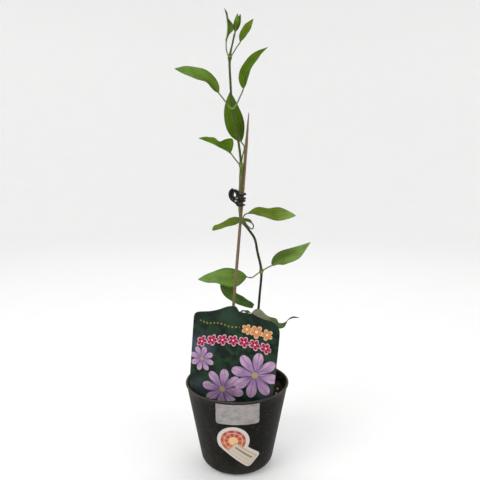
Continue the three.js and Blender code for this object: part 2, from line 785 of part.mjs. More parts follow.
// A rectangle with its two lower corners rounded.
function paperStickerOutline() {
  const { left, right, bottom, top, corner } = PAPER_STICKER;
  const shape = new THREE.Shape();
  shape.moveTo(right, top);
  shape.lineTo(left, top);
  shape.absarc(left + corner, bottom + corner, corner, Math.PI, 1.5 * Math.PI, false);
  shape.absarc(right - corner, bottom + corner, corner, -Math.PI / 2, 0, false);
  return shape;
}

// A disc with a tab to the lower right, whose lower edge runs off the disc's rim.
function roundStickerOutline() {
  const { x, z, radius } = ROUND_STICKER;
  const { reach, upperEdge, lean, corner } = STICKER_TAB;
  const place = (along, across) => new THREE.Vector2(
    x + along * Math.cos(lean) - across * Math.sin(lean),
    z + along * Math.sin(lean) + across * Math.cos(lean),
  );
  const lowCorner = place(reach - corner, corner - radius);
  const highCorner = place(reach - corner, upperEdge - corner);
  const shape = new THREE.Shape();
  shape.absarc(x, z, radius, lean + Math.asin(upperEdge / radius), lean + 1.5 * Math.PI, false);
  shape.absarc(lowCorner.x, lowCorner.y, corner, lean - Math.PI / 2, lean, false);
  shape.absarc(highCorner.x, highCorner.y, corner, lean, lean + Math.PI / 2, false);
  return shape;
}

const stemClearance = buildStem(GAP);
const soilHoles = stemClearance.add(buildCane(GAP)).add(buildCard(GAP));

addPiece('pot', buildPot(), FINISHES.pot);
addPiece('soil', buildSoil().subtract(soilHoles), FINISHES.soil);
addPiece('cane', buildCane(0), FINISHES.cane);
addPiece('stem', buildStem(0), FINISHES.stem);
addPiece('wire_tie', buildTie(), FINISHES.tie);
for (const leaf of LEAVES) {
  addPiece(leaf.name, buildLeaf(leaf, stemClearance), FINISHES.leaf);
}
const [frontTip, backTip] = TIP_LEAVES.map((leaf) => buildLeaf(leaf, stemClearance));
addPiece('shoot_tip', frontTip.add(backTip), FINISHES.youngLeaf);
addPiece('picture_card', buildCard(0), FINISHES.card);

const skin = buildSkin();
addPiece('paper_sticker', cutFromSkin(skin, paperStickerOutline()), FINISHES.paper);
addPiece('round_sticker', cutFromSkin(skin, roundStickerOutline()), FINISHES.sticker);

export default group;
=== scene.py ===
import math

import bmesh
import bpy
import numpy as np
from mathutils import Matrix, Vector, noise
from mathutils.geometry import delaunay_2d_cdt


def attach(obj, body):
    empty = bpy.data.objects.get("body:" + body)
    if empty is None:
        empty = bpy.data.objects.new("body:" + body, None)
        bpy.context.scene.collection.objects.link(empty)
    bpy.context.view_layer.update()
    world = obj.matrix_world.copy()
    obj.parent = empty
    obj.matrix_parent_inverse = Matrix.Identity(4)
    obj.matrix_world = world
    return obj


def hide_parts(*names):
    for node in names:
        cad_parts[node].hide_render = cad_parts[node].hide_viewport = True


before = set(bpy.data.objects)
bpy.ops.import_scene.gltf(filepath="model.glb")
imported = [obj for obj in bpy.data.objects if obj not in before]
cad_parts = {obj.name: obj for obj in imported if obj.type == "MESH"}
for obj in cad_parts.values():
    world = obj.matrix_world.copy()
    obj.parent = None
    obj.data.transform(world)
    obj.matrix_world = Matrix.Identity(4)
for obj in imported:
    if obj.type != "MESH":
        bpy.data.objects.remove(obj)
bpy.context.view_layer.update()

MM = 0.001
rng = np.random.default_rng(20)


# Shapes

def unit(vectors):
    """Vectors of length one."""
    return vectors / np.linalg.norm(vectors, axis=-1, keepdims=True)


def turned(x, y, angle):
    """The point (x, y) turned to the left by the angle."""
    return x * math.cos(angle) - y * math.sin(angle), x * math.sin(angle) + y * math.cos(angle)


def circle_angles(sides):
    return np.linspace(0, 2 * math.pi, sides, endpoint=False)


def hump(away, reach):
    """1 where away is 0, falling off softly within the reach."""
    return np.exp(-((away / reach) ** 2))


def soft_noise(x, y, z):
    """Smooth noise round 0 at each place; arrays and single numbers may be mixed."""
    places = np.stack(np.broadcast_arrays(x, y, z), -1).astype(float)
    values = [noise.noise(Vector(place)) for place in places.reshape(-1, 3)]
    return np.array(values).reshape(places.shape[:-1])


def smooth_path(points, per_span=40):
    """A smooth curve through the points, as many short straight steps."""
    points = np.array(points, float)
    spans = np.vstack([2 * points[0] - points[1], points, 2 * points[-1] - points[-2]])
    share = np.arange(per_span)[:, None] / per_span
    steps = []
    for a, b, c, d in zip(spans, spans[1:], spans[2:], spans[3:]):
        ab, bc, cd = (np.linalg.norm(q - p) ** 0.5 for p, q in ((a, b), (b, c), (c, d)))
        leaving = ((b - a) / ab - (c - a) / (ab + bc) + (c - b) / bc) * bc
        arriving = ((c - b) / bc - (d - b) / (bc + cd) + (d - c) / cd) * bc
        square = (-3 * b + 3 * c - 2 * leaving - arriving) * share**2
        cube = (2 * b - 2 * c + leaving + arriving) * share**3
        steps.append(b + leaving * share + square + cube)
    return np.vstack([*steps, points[-1:]])


def path_lengths(path):
    """The length from the path's start to each of its points."""
    return np.concatenate([[0], np.cumsum(np.linalg.norm(np.diff(path, axis=0), axis=1))])


def along_path(path, shares):
    """Points and directions at the given shares of a path's length."""
    lengths = path_lengths(path)

    def places(at):
        return np.stack([np.interp(at, lengths, path[:, i]) for i in range(3)], 1)

    at = np.asarray(shares) * lengths[-1]
    step = lengths[-1] / 800
    ahead = np.minimum(at + step, lengths[-1])
    behind = np.maximum(at - step, 0)
    return places(at), unit(places(ahead) - places(behind))


def tube(path, shares, radii, sides):
    """A closed tube round a path. radii is one per station, or one per station and side."""
    points, directions = along_path(path, shares)
    normal = np.array([1, 0.2, 0.1])
    normals = []
    for direction in directions:
        normal = unit(normal - direction * (normal @ direction))
        normals.append(normal)
    normals = np.array(normals)[:, None]
    binormals = np.cross(normals[:, 0], directions)[:, None]
    angles = circle_angles(sides)[None, :, None]
    radii = np.asarray(radii, float)
    radii = radii[:, None, None] if radii.ndim == 1 else radii[:, :, None]
    rings = points[:, None] + radii * (normals * np.cos(angles) + binormals * np.sin(angles))
    vertices = np.vstack([rings.reshape(-1, 3), points[:1], points[-1:]])
    last = (len(points) - 1) * sides
    faces = []
    for ring in range(len(points) - 1):
        for side in range(sides):
            a, b = ring * sides + side, ring * sides + (side + 1) % sides
            faces.append((a, a + sides, b + sides, b))
    for side in range(sides):
        ahead = (side + 1) % sides
        faces.append((side, ahead, len(vertices) - 2))
        faces.append((last + ahead, last + side, len(vertices) - 1))
    return vertices, faces


def lathe(profile, sides):
    """A closed solid turned round Z, from a profile that starts and ends on the axis."""
    profile = np.array(profile, float)
    angles = circle_angles(sides)
    rings = []
    for reach, height in profile[1:-1]:
        circle = [reach * np.cos(angles), reach * np.sin(angles), np.full(sides, height)]
        rings.append(np.stack(circle, 1))
    ends = [[0, 0, profile[0, 1]], [0, 0, profile[-1, 1]]]
    vertices = np.vstack([*rings, ends])
    first, last = len(vertices) - 2, len(vertices) - 1
    top = (len(rings) - 1) * sides
    faces = []
    for side in range(sides):
        ahead = (side + 1) % sides
        faces.append((first, ahead, side))
        faces.append((last, top + side, top + ahead))
        for ring in range(len(rings) - 1):
            low = ring * sides
            faces.append((low + side, low + ahead, low + sides + ahead, low + sides + side))
    return vertices, faces


def joined(*shapes):
    """Several shapes as one list of vertices and faces."""
    vertices, faces, start = [], [], 0
    for shape_vertices, shape_faces in shapes:
        vertices.append(shape_vertices)
        faces += [tuple(start + corner for corner in face) for face in shape_faces]
        start += len(shape_vertices)
    return np.vstack(vertices), faces


def new_mesh(name, vertices, faces):
    """A Blender mesh from corners in millimetres."""
    mesh = bpy.data.meshes.new(name)
    mesh.from_pydata((np.asarray(vertices) * MM).tolist(), [], faces)
    return mesh


def placed(name, data):
    """A new object of the scene."""
    made = bpy.data.objects.new(name, data)
    bpy.context.scene.collection.objects.link(made)
    return made


def piece(name, shape, finishes, nodes=(), face_finish=None, places=None, crease=40):
    """A mesh in millimetres becomes a piece of the plant, with its finishes and places."""
    mesh = new_mesh(name, *shape)
    for finish in finishes:
        mesh.materials.append(finish.material)
    if face_finish is not None:
        mesh.polygons.foreach_set("material_index", np.asarray(face_finish, np.int32))
    for attribute, values in (places or {}).items():
        layer = mesh.attributes.new(attribute, "FLOAT_VECTOR", "POINT")
        layer.data.foreach_set("vector", np.asarray(values, np.float32).ravel())
    mesh.shade_smooth()
    mesh.set_sharp_from_angle(angle=math.radians(crease))
    mesh.update()
    made = placed(name, mesh)
    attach(made, "root")
    if nodes:
        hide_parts(*nodes)
    return made


# Materials

STUDIO_LIGHT = 1.15


def srgb(red, green, blue):
    """The paint that looks like this screen colour, from 0 to 255, in the studio's light."""
    shares = (channel / 255 for channel in (red, green, blue))
    light = [s / 12.92 if s <= 0.04045 else ((s + 0.055) / 1.055) ** 2.4 for s in shares]
    return (*(part / STUDIO_LIGHT for part in light), 1.0)


class Tone:
    """A socket of a finish. Python's operators on it add Math nodes."""

    def __init__(self, finish, socket):
        self.finish = finish
        self.socket = socket

    def maths(self, operation, *others):
        return self.finish.maths(operation, self, *others)

    def __add__(self, other):
        return self.maths("ADD", other)

    def __sub__(self, other):
        return self.maths("SUBTRACT", other)

    def __rsub__(self, other):
        return self.finish.maths("SUBTRACT", other, self)

    def __mul__(self, other):
        return self.maths("MULTIPLY", other)

    def __truediv__(self, other):
        return self.maths("DIVIDE", other)

    def __pow__(self, other):
        return self.maths("POWER", other)

    def __mod__(self, other):
        return self.maths("FLOORED_MODULO", other)

    def __abs__(self):
        return self.maths("ABSOLUTE")

    __radd__ = __add__
    __rmul__ = __mul__

    def rise(self, low, high):
        """0 below low, 1 above high, smooth between; turned round where low is over high."""
        settings = {"interpolation_type": "SMOOTHSTEP"}
        sockets = {"Value": self, "From Min": low, "From Max": high}
        return self.finish.node("ShaderNodeMapRange", settings, sockets)

    def line(self, width):
        """1 where the value is 0, falling to 0 at the width on either side."""
        return abs(self).rise(width, 0)

    def within(self, low, high, soft):
        """1 between low and high, 0 outside, with soft edges on the inside."""
        return self.rise(low, low + soft) * self.rise(high, high - soft)

    def shades(self, low, high, dark, light):
        """The first screen colour where this is below low, the second where it is above high."""
        return self.finish.mix(self.rise(low, high), srgb(*dark), srgb(*light))

    def coat(self, share, *colour):
        """This tone, with a screen colour over it where the share is 1."""
        return self.finish.mix(share, self, srgb(*colour))


def distance(x, y):
    return (x * x + y * y) ** 0.5


class Finish:
    """A procedural material."""

    def __init__(self, name):
        self.material = bpy.data.materials.new(name)
        self.material.use_nodes = True
        self.nodes = self.material.node_tree.nodes
        self.links = self.material.node_tree.links

    def feed(self, socket, value):
        if isinstance(value, Tone):
            self.links.new(value.socket, socket)
        else:
            socket.default_value = value

    def node(self, kind, settings, sockets, output=0):
        """Adds a node: its settings first, then the values or links of its sockets."""
        made = self.nodes.new(kind)
        for setting, value in settings.items():
            setattr(made, setting, value)
        for socket, value in sockets.items():
            self.feed(made.inputs[socket], value)
        return Tone(self, made.outputs[output])

    def maths(self, operation, *values):
        return self.node("ShaderNodeMath", {"operation": operation}, dict(enumerate(values)))

    def mix(self, share, low, high):
        """Colour low where the share is 0 and high where it is 1."""
        return self.node("ShaderNodeMix", {"data_type": "RGBA"}, {0: share, 6: low, 7: high}, 2)

    def parts(self, vector):
        return [self.node("ShaderNodeSeparateXYZ", {}, {0: vector}, i) for i in range(3)]

    def place(self, attribute):
        """The three numbers that a piece keeps at its points under this name."""
        settings = {"attribute_name": attribute}
        return self.parts(self.node("ShaderNodeAttribute", settings, {}, "Vector"))

    def at(self, x, y, z=0):
        return self.node("ShaderNodeCombineXYZ", {}, {0: x, 1: y, 2: z})

    def spot(self):
        """The place on the part, in millimetres."""
        found = self.node("ShaderNodeTexCoord", {}, {}, "Object")
        settings = {"operation": "SCALE"}
        return self.parts(self.node("ShaderNodeVectorMath", settings, {0: found, "Scale": 1 / MM}))

    def grain(self, vector, size, detail=3, roughness=0.55):
        """Soft noise round 0.5; size is in the vector's own measure."""
        sockets = {"Vector": vector, "Scale": 1 / size, "Detail": detail, "Roughness": roughness}
        return self.node("ShaderNodeTexNoise", {}, sockets)

    def cells(self, vector, size, feature="F1"):
        sockets = {"Vector": vector, "Scale": 1 / size}
        return self.node("ShaderNodeTexVoronoi", {"feature": feature}, sockets, "Distance")

    def shader(self, sockets):
        """Sets sockets of the Principled shader by their names."""
        for socket, value in sockets.items():
            self.feed(self.nodes["Principled BSDF"].inputs[socket], value)
        return self

    def surface(self, colour, rough, sheen, height, depth, strength=1.0):
        """A surface with bumps from the height, of the given depth in millimetres."""
        bumps = {"Height": height, "Distance": depth * MM, "Strength": strength}
        normal = self.node("ShaderNodeBump", {}, bumps)
        return self.shader({
            "Base Color": colour, "Roughness": rough, "Specular IOR Level": sheen, "Normal": normal,
        })


# Pot

POT_HEIGHT = 75
WALL_TOP_RADIUS = 44.2
WALL_FOOT_RADIUS = 30
FOOT_CORNER_RADIUS = 11
POT_WALL = 1.2
RIM_BEAD = 0.9
DRAIN_HOLES = 8
DRAIN_RING_RADIUS = 14
DRAIN_HOLE_RADIUS = 2.6
wall_slope = math.atan2(WALL_TOP_RADIUS - WALL_FOOT_RADIUS, POT_HEIGHT)
corner_reach = WALL_FOOT_RADIUS - FOOT_CORNER_RADIUS * (1 - math.sin(wall_slope)) / math.cos(wall_slope)


def wall_radius(height, offset):
    return WALL_FOOT_RADIUS + height * math.tan(wall_slope) + offset / math.cos(wall_slope)


def foot_corner(offset, steps=14):
    angles = np.linspace(-math.pi / 2, -wall_slope, steps)
    radius = FOOT_CORNER_RADIUS + offset
    reach = corner_reach + radius * np.cos(angles)
    return list(zip(reach, FOOT_CORNER_RADIUS + radius * np.sin(angles)))


def pot_shape():
    bead_foot = POT_HEIGHT - 2 * RIM_BEAD
    lip = wall_radius(bead_foot, 0)
    inside = wall_radius(bead_foot, -POT_WALL)
    bead = []
    for angle in np.linspace(-1.2, math.pi / 2, 8):
        out = lip + RIM_BEAD * (0.1 + 0.9 * math.cos(angle))
        bead.append((out, POT_HEIGHT - RIM_BEAD * (1 - math.sin(angle))))
    outer = foot_corner(0)
    wall = [(wall_radius(z, 0), z) for z in np.linspace(outer[-1][1], bead_foot - 0.3, 12)[1:]]
    inner_top = [(inside + 0.5, POT_HEIGHT - 0.1), (inside + 0.1, POT_HEIGHT - 0.5), (inside, bead_foot)]
    inner = foot_corner(-POT_WALL)[::-1]
    profile = [(0, 0), *outer, *wall, *bead, *inner_top, *inner, (0, POT_WALL)]
    return lathe(profile, 192)


def drain_holes():
    """The cutters of the ring of holes in the pot's floor."""
    shapes = []
    for i in range(DRAIN_HOLES):
        angle = (i + 0.5) / DRAIN_HOLES * 2 * math.pi
        x, y = DRAIN_RING_RADIUS * math.cos(angle), DRAIN_RING_RADIUS * math.sin(angle)
        path = np.array([[x, y, -3], [x, y, 0.6], [x, y, 4]], float)
        shapes.append(tube(path, [0, 0.5, 1], [DRAIN_HOLE_RADIUS] * 3, 24))
    return joined(*shapes)


def pot_finish():
    finish = Finish("black moulded plastic")
    x, y, z = finish.spot()
    spot = finish.at(x, y, z)
    around = finish.maths("ARCTAN2", y, x) * 44
    streaks = finish.grain(finish.at(around, z * 0.06), 0.9, 4, 0.6)
    broad = finish.grain(finish.at(around, z * 0.5), 22, 3)
    skin = finish.grain(spot, 0.35, 2)
    dust = finish.grain(spot, 2.2, 6, 0.7)
    specks = finish.cells(spot, 2.6).rise(0.24, 0.1) * finish.grain(spot, 9, 2).rise(0.42, 0.58)
    # Painted light: the pot's left side gets a lighter tone with pale patches, and the right side keeps the
    # darker one.
    darker_right = streaks.shades(0.3, 0.75, (12, 12, 10), (22, 21, 18))
    painted_light_left = streaks.shades(0.3, 0.75, (18, 17, 15), (32, 31, 27))
    painted_light_left = painted_light_left.coat(broad.rise(0.5, 0.75) * 0.6, 50, 47, 40)
    splashed = z.rise(24, 8) * broad.rise(0.3, 0.6) * 0.5
    plastic = finish.mix(x.rise(26, -20), darker_right, painted_light_left).coat(splashed, 52, 50, 43)
    # Painted highlights: a pale band along the rim's top, brownish towards its left and right ends.
    rim = z.rise(POT_HEIGHT - 1.6, POT_HEIGHT - 0.4)
    plastic = plastic.coat(rim * 0.6, 84, 83, 78)
    plastic = plastic.coat(rim * abs(x).rise(22, 42) * 0.6, 92, 80, 58)
    depth = distance(x, y) - z * math.tan(wall_slope) - WALL_FOOT_RADIUS
    inside = depth.rise(-POT_WALL * 0.5, -POT_WALL) * z.rise(20, 30)
    plastic = plastic.coat(inside * 0.8, 17, 15, 12)
    plastic = plastic.coat(inside * dust.rise(0.5, 0.6) * 0.6, 58, 50, 38)
    dusty = dust.rise(0.52, 0.78) * 0.22
    plastic = plastic.coat(dusty, 84, 77, 64)
    plastic = plastic.coat(specks * 0.7, 104, 96, 80)
    rough = 0.42 + streaks * 0.16 + dusty * 0.5
    height = skin * 0.25 + streaks * 0.6 + broad * 0.5
    return finish.surface(plastic, rough, 0.08, height, 0.22, 0.6)


def make_pot():
    pot = piece("moulded_pot", pot_shape(), [pot_finish()], ["pot"], crease=50)
    cutter = placed("drain holes", new_mesh("drain holes", *drain_holes()))
    cut = pot.modifiers.new("drain holes", "BOOLEAN")
    cut.object = cutter
    cut.solver = "EXACT"
    bpy.context.view_layer.update()
    seen = pot.evaluated_get(bpy.context.evaluated_depsgraph_get())
    drilled = bpy.data.meshes.new_from_object(seen)
    pot.modifiers.clear()
    pot.data = drilled
    bpy.data.objects.remove(cutter)


# Soil

SOIL_LEVEL = 66.5
BARK_CRUMBS = 520
GRANULES = [
    (35.3, -3.2), (33.6, -9.2), (26, 8), (-20, 22), (5, 27), (-31, 5), (17, 20), (-9, 33), (12, -36),
]


def soil_height(x, y):
    """The lumps that the packed soil has, with crumbs on them."""
    broad = math.sin(0.21 * x + 1.3) * math.cos(0.24 * y - 0.4)
    fine = math.sin(0.63 * x - 0.5 * y + 2.1) + math.cos(0.47 * x + 0.71 * y)
    lumps = 0.8 * (0.9 * broad + 0.45 * fine)
    crumbs = noise.fractal(Vector((x, y, 3)) * 0.55, 0.8, 2.1, 5)
    fibres = noise.noise(Vector((x * 1.9, y * 1.9, 8)))
    return SOIL_LEVEL + lumps + 0.75 * crumbs + 0.25 * fibres


def soil_shape():
    sides, rings = 240, 84
    offset = -(POT_WALL + 0.05)
    edge = wall_radius(SOIL_LEVEL - 1, offset)
    side = [(wall_radius(z, offset), z) for z in (20, 35, 50)]
    top = [(edge * (1 - i / rings) ** 0.92, SOIL_LEVEL) for i in range(rings)]
    profile = [(0, POT_WALL + 0.3), *foot_corner(offset, 8), *side, *top, (0, SOIL_LEVEL)]
    vertices, faces = lathe(profile, sides)
    for vertex in vertices:
        if vertex[2] > SOIL_LEVEL - 0.01:
            reach = math.hypot(vertex[0], vertex[1])
            share = min((edge - reach) / 3, 1)
            height = soil_height(vertex[0], vertex[1])
            vertex[2] = SOIL_LEVEL - 1 + (height - SOIL_LEVEL + 1) * max(share, 0)
    return vertices, faces


def pebble_shapes(spots, sizes, flatness, roughness):
    """Small rough crumbs at the spots, each turned its own way."""
    ball = bmesh.new()
    bmesh.ops.create_icosphere(ball, subdivisions=2, radius=1)
    corners = np.array([vertex.co for vertex in ball.verts])
    faces = [tuple(vertex.index for vertex in face.verts) for face in ball.faces]
    ball.free()
    shapes = []
    for spot, size in zip(spots, sizes):
        stretch = rng.uniform(1 - flatness, 1 + flatness, 3)
        turn, _ = np.linalg.qr(rng.normal(size=(3, 3)))
        if np.linalg.det(turn) < 0:
            turn[:, 0] = -turn[:, 0]
        bumps = soft_noise(*(corners * 1.3 + rng.uniform(0, 50, 3)).T)
        lumpy = corners * (1 + roughness * bumps[:, None]) * stretch * size
        shapes.append((lumpy @ turn.T + spot, faces))
    return joined(*shapes)


def soil_finish():
    finish = Finish("moist potting soil")
    spot = finish.at(*finish.spot())
    coarse = finish.grain(spot, 2.4, 6, 0.7)
    fine = finish.grain(spot, 0.5, 4, 0.7)
    peat = coarse.shades(0.35, 0.7, (20, 19, 14), (52, 46, 34))
    peat = peat.coat(fine.rise(0.55, 0.8) * 0.5, 86, 74, 56)
    return finish.surface(peat, 0.82 + fine * 0.15, 0.15, coarse * 0.6 + fine * 0.4, 0.9)


def bark_finish():
    finish = Finish("bark crumbs")
    x, y, z = finish.spot()
    tint = finish.grain(finish.at(x, y, z), 1.6, 3)
    fibre = finish.grain(finish.at(x * 0.3, y, z), 0.25, 3)
    bark = tint.shades(0.35, 0.65, (22, 20, 16), (70, 56, 42))
    bark = bark.coat(fibre.rise(0.55, 0.75) * 0.5, 88, 71, 52)
    return finish.surface(bark, 0.75 + tint * 0.2, 0.2, fibre, 0.12)


def granule_finish():
    finish = Finish("feed granules")
    spot = finish.at(*finish.spot())
    stain = finish.grain(spot, 0.8, 4)
    shell = stain.shades(0.35, 0.7, (196, 188, 160), (128, 112, 80))
    return finish.surface(shell, 0.4 + stain * 0.3, 0.5, finish.grain(spot, 0.15, 2), 0.05)


def make_soil():
    piece("soil_bed", soil_shape(), [soil_finish()], ["soil"], crease=80)
    reach = 40 * np.sqrt(rng.uniform(0, 1, BARK_CRUMBS))
    angle = rng.uniform(0, 2 * math.pi, BARK_CRUMBS)
    x, y = reach * np.cos(angle), reach * np.sin(angle)
    clear = [abs(card_offset(px, py)) > 2.4 for px, py in zip(x, y)]
    x, y = x[clear], y[clear]
    spots = [(px, py, soil_height(px, py) + 0.1) for px, py in zip(x, y)]
    sizes = rng.gamma(3.0, 0.26, len(x)) + 0.35
    crumbs = pebble_shapes(spots, np.minimum(sizes, 1.9), 0.45, 0.7)
    piece("bark_crumbs", crumbs, [bark_finish()], crease=60)
    spots = [(px, py, soil_height(px, py) + 0.6) for px, py in GRANULES]
    shape = pebble_shapes(spots, rng.uniform(0.9, 1.25, len(spots)), 0.08, 0.12)
    piece("feed_granules", shape, [granule_finish()], crease=80)


# Cane and stem

CANE_PATH = [(-13.2, 0, 13), (-8.7, 0, 69), (-2.9, 0, 144), (3.3, 0, 220), (9.6, 0, 303)]
CANE_RADIUS = 1.3
CANE_TIP_RADIUS = 0.3
CANE_LENGTH = 300
# The bamboo's own joints: the share of the cane's length, and the height.
CANE_JOINTS = ((0.425, 136.5), (0.79, 242))


def cane_shape():
    """A split of bamboo: round on one side, flatter on the other, with fibres along it."""
    path = smooth_path(CANE_PATH)
    shares = np.linspace(0, 1, 240)
    sides = 24
    angles = circle_angles(sides)
    to_tip = np.clip((1 - shares) * path_lengths(path)[-1] / 26, 0, 1)
    radius = CANE_TIP_RADIUS + (CANE_RADIUS - CANE_TIP_RADIUS) * to_tip**0.8
    for joint, _ in CANE_JOINTS:
        radius = radius + 0.16 * hump((shares - joint) * CANE_LENGTH, 1.6)
    section = 1 - 0.1 * np.clip(np.cos(angles - 1.9), 0, 1) ** 2
    fibres = soft_noise(np.cos(angles) * 2.6, np.sin(angles) * 2.6, shares[:, None] * 5)
    radii = radius[:, None] * (section[None] + 0.07 * fibres - 0.02)
    return tube(path, shares, radii, sides)


def cane_finish():
    finish = Finish("split bamboo")
    x, y, z = finish.spot()
    fibres = finish.grain(finish.at(x - z * 0.078, y, z * 0.025), 0.28, 5, 0.65)
    patches = finish.grain(finish.at(x * 0.4, y * 0.4, z * 0.1), 1.6, 4, 0.6)
    stain = finish.grain(finish.at(x, y, z * 0.3), 2.5, 5, 0.7)
    wood = fibres.shades(0.3, 0.7, (92, 75, 50), (142, 122, 90))
    wood = wood.coat(patches.rise(0.45, 0.7) * 0.7, 116, 94, 70)
    wood = wood.coat(stain.rise(0.54, 0.72) * 0.7, 74, 62, 44)
    wood = wood.coat(z.rise(165, 140) * 0.7, 116, 112, 60)
    for _, height in CANE_JOINTS:
        wood = wood.coat((z - height).line(5) * 0.5, 158, 136, 90)
        wood = wood.coat((z - height).line(0.8) * 0.8, 84, 64, 42)
    return finish.surface(wood, 0.55 + fibres * 0.25, 0.25, fibres * 0.7 + stain * 0.3, 0.16)


STEM_NODES = [
    (17.6, 5.6, 125), (20.7, 4, 171.3), (3.7, -4, 216), (3.4, -2.6, 261), (-3.6, -7, 305.5),
    (-5.5, -7, 344.7),
]
JOINT_TONES = [
    (104, 112, 60), (104, 116, 58), (96, 100, 58), (112, 138, 62), (66, 94, 22), (70, 88, 36),
]
STEM_PATH = [
    (10, 6, 42), (13.2, 6, 66.5), (16.3, 6, 100), STEM_NODES[0], (19.4, 4.6, 150), STEM_NODES[1],
    (17.3, 2, 188), (14.7, 0, 200), (9.2, -2.4, 208.5), STEM_NODES[2], (1.9, -2.6, 228),
    (2.2, -2.2, 238), (3.1, -2.5, 249), STEM_NODES[3], (1.2, -3.4, 280), STEM_NODES[4],
    (-5, -7, 325), STEM_NODES[5], (-3.2, -7, 356), (-1.8, -7, 362.5),
]
STEM_FOOT_RADIUS = 1.12
STEM_TIP_RADIUS = 0.82
STEM_THICK_HEIGHT = 252
STEM_THICKENING = 0.45
STEM_THIN_HEIGHT = 346
STEM_THINNING = 0.17


def stem_shape():
    """The vine: six faint ribs along it and a swollen joint where each pair of leaves grows."""
    path = smooth_path(STEM_PATH)
    length = path_lengths(path)[-1]
    shares = np.linspace(0, 1, 560)
    sides = 24
    angles = circle_angles(sides)
    radius = STEM_FOOT_RADIUS + (STEM_TIP_RADIUS - STEM_FOOT_RADIUS) * shares
    for node in STEM_NODES:
        nearest = np.argmin(np.linalg.norm(path - np.array(node), axis=1))
        away = (shares - path_lengths(path)[nearest] / length) * length
        radius = radius + 0.62 * hump(away, 1.7) + 0.14 * hump(away, 4.5)
    heights = along_path(path, shares)[0][:, 2]
    radius = radius + STEM_THICKENING * hump(heights - STEM_THICK_HEIGHT, 8)
    radius = radius - STEM_THINNING * np.clip((heights - STEM_THIN_HEIGHT) / 6, 0, 1)
    ribs = 1 + 0.07 * np.cos(6 * angles)
    wander = soft_noise(0, 3, shares * 90)
    radii = (radius * (1 + 0.05 * wander))[:, None] * ribs[None]
    return tube(path, shares, radii, sides)


def stem_finish():
    finish = Finish("vine bark")
    x, y, z = finish.spot()
    ribs = finish.grain(finish.at(x, y, z * 0.06), 0.4, 4, 0.6)
    blotch = finish.grain(finish.at(x, y, z * 0.4), 2.2, 4, 0.65)
    bark = ribs.shades(0.35, 0.7, (34, 38, 20), (66, 66, 40))
    olive = ribs.shades(0.35, 0.7, (76, 82, 38), (130, 132, 84))
    green = ribs.shades(0.35, 0.7, (52, 64, 18), (88, 104, 44))
    vine = finish.mix(z.rise(206, 220), bark, olive)
    vine = finish.mix(z.rise(248, 268), vine, green)
    vine = vine.coat(blotch.rise(0.58, 0.75) * 0.4, 58, 46, 26)
    for node, tone in zip(STEM_NODES, JOINT_TONES):
        settings, sockets = {"operation": "DISTANCE"}, {0: finish.at(x, y, z), 1: node}
        joint = finish.node("ShaderNodeVectorMath", settings, sockets, "Value")
        vine = vine.coat(joint.rise(4.2, 1.6) * 0.8, *tone)
    return finish.surface(vine, 0.46 + ribs * 0.25, 0.12, ribs, 0.14)


# Wire tie

TIE_CENTRES = np.array([(2.7, -1.3), (3.7, -1.15)])
TIE_LONG_RADIUS = 4
TIE_SHORT_RADIUS = 2.95
TIE_LONG_WAY = math.radians(47)
TIE_START_ANGLE = math.radians(-120)
TIE_HALF_TURN_HEIGHTS = (228.3, 228.2, 231.3, 231.8, 233.1, 233.9, 236.4, 237.6, 240.9)
TIE_TURNS = 3.75
TIE_RADIUS = 0.8
TIE_START_CURL = [
    (-2.7, -5.3, 241.6), (-4.1, -5.3, 241.5), (-5.6, -5.3, 240), (-6.2, -5.4, 237.7),
    (-5.9, -5.5, 235.5), (-4.7, -5.6, 233.3), (-2.2, -5.6, 231.3), (-0.5, -5.4, 229.9),
]
TIE_END_CURL = [
    (-0.7, -1.6, 240.5), (-2.2, -3.6, 240.7), (-3.8, -4.1, 239.8), (-4.7, -4.2, 237.8),
    (-4.4, -4.3, 235.7), (-3.2, -4.6, 234), (-1.6, -5.4, 233), (0.2, -6.5, 233.2),
    (1.4, -6.8, 234.9), (1.6, -6.9, 237), (0.9, -6.7, 239), (-0.7, -6.3, 240),
    (-2.3, -6.1, 239.6), (-3.2, -6, 238.2), (-3.2, -6, 236.2), (-2.1, -6.2, 234.8),
    (-0.7, -6.5, 234.9), (-0.1, -6.8, 236.4), (0, -7.2, 237.7), (-0.6, -7.6, 238.6),
    (-1.5, -7.7, 238.5),
]


def tie_shape():
    """A curl on the left, the turns round stem and cane, and two smaller curls in the first."""
    turn = np.arange(0, TIE_TURNS + 0.01, 1 / 12)
    angle = TIE_START_ANGLE - TIE_LONG_WAY + turn * 2 * math.pi
    along, across = TIE_LONG_RADIUS * np.cos(angle), TIE_SHORT_RADIUS * np.sin(angle)
    centre = np.outer(1 - turn / TIE_TURNS, TIE_CENTRES[0]) + np.outer(turn / TIE_TURNS, TIE_CENTRES[1])
    x, y = turned(along, across, TIE_LONG_WAY)
    z = np.interp(2 * turn, range(len(TIE_HALF_TURN_HEIGHTS)), TIE_HALF_TURN_HEIGHTS)
    rounds = np.stack([centre[:, 0] + x, centre[:, 1] + y, z], 1)
    path = smooth_path([*TIE_START_CURL, *rounds, *TIE_END_CURL], 12)
    shares = np.linspace(0, 1, 700)
    to_end = np.minimum(shares, 1 - shares) * path_lengths(path)[-1]
    dents = soft_noise(shares * 90, 4, 0)
    radii = (TIE_RADIUS + 0.05 * dents) * np.clip(to_end / 0.6, 0.4, 1) ** 0.5
    return tube(path, shares, radii, 14)


def tie_finish():
    finish = Finish("wire in black plastic")
    spot = finish.at(*finish.spot())
    dents = finish.grain(spot, 1.1, 3)
    scuffs = finish.grain(spot, 0.4, 4)
    coat = finish.mix(scuffs.rise(0.58, 0.8) * 0.6, srgb(14, 14, 14), srgb(54, 54, 50))
    return finish.surface(coat, 0.24 + scuffs * 0.25, 0.3, dents, 0.3, 0.6)
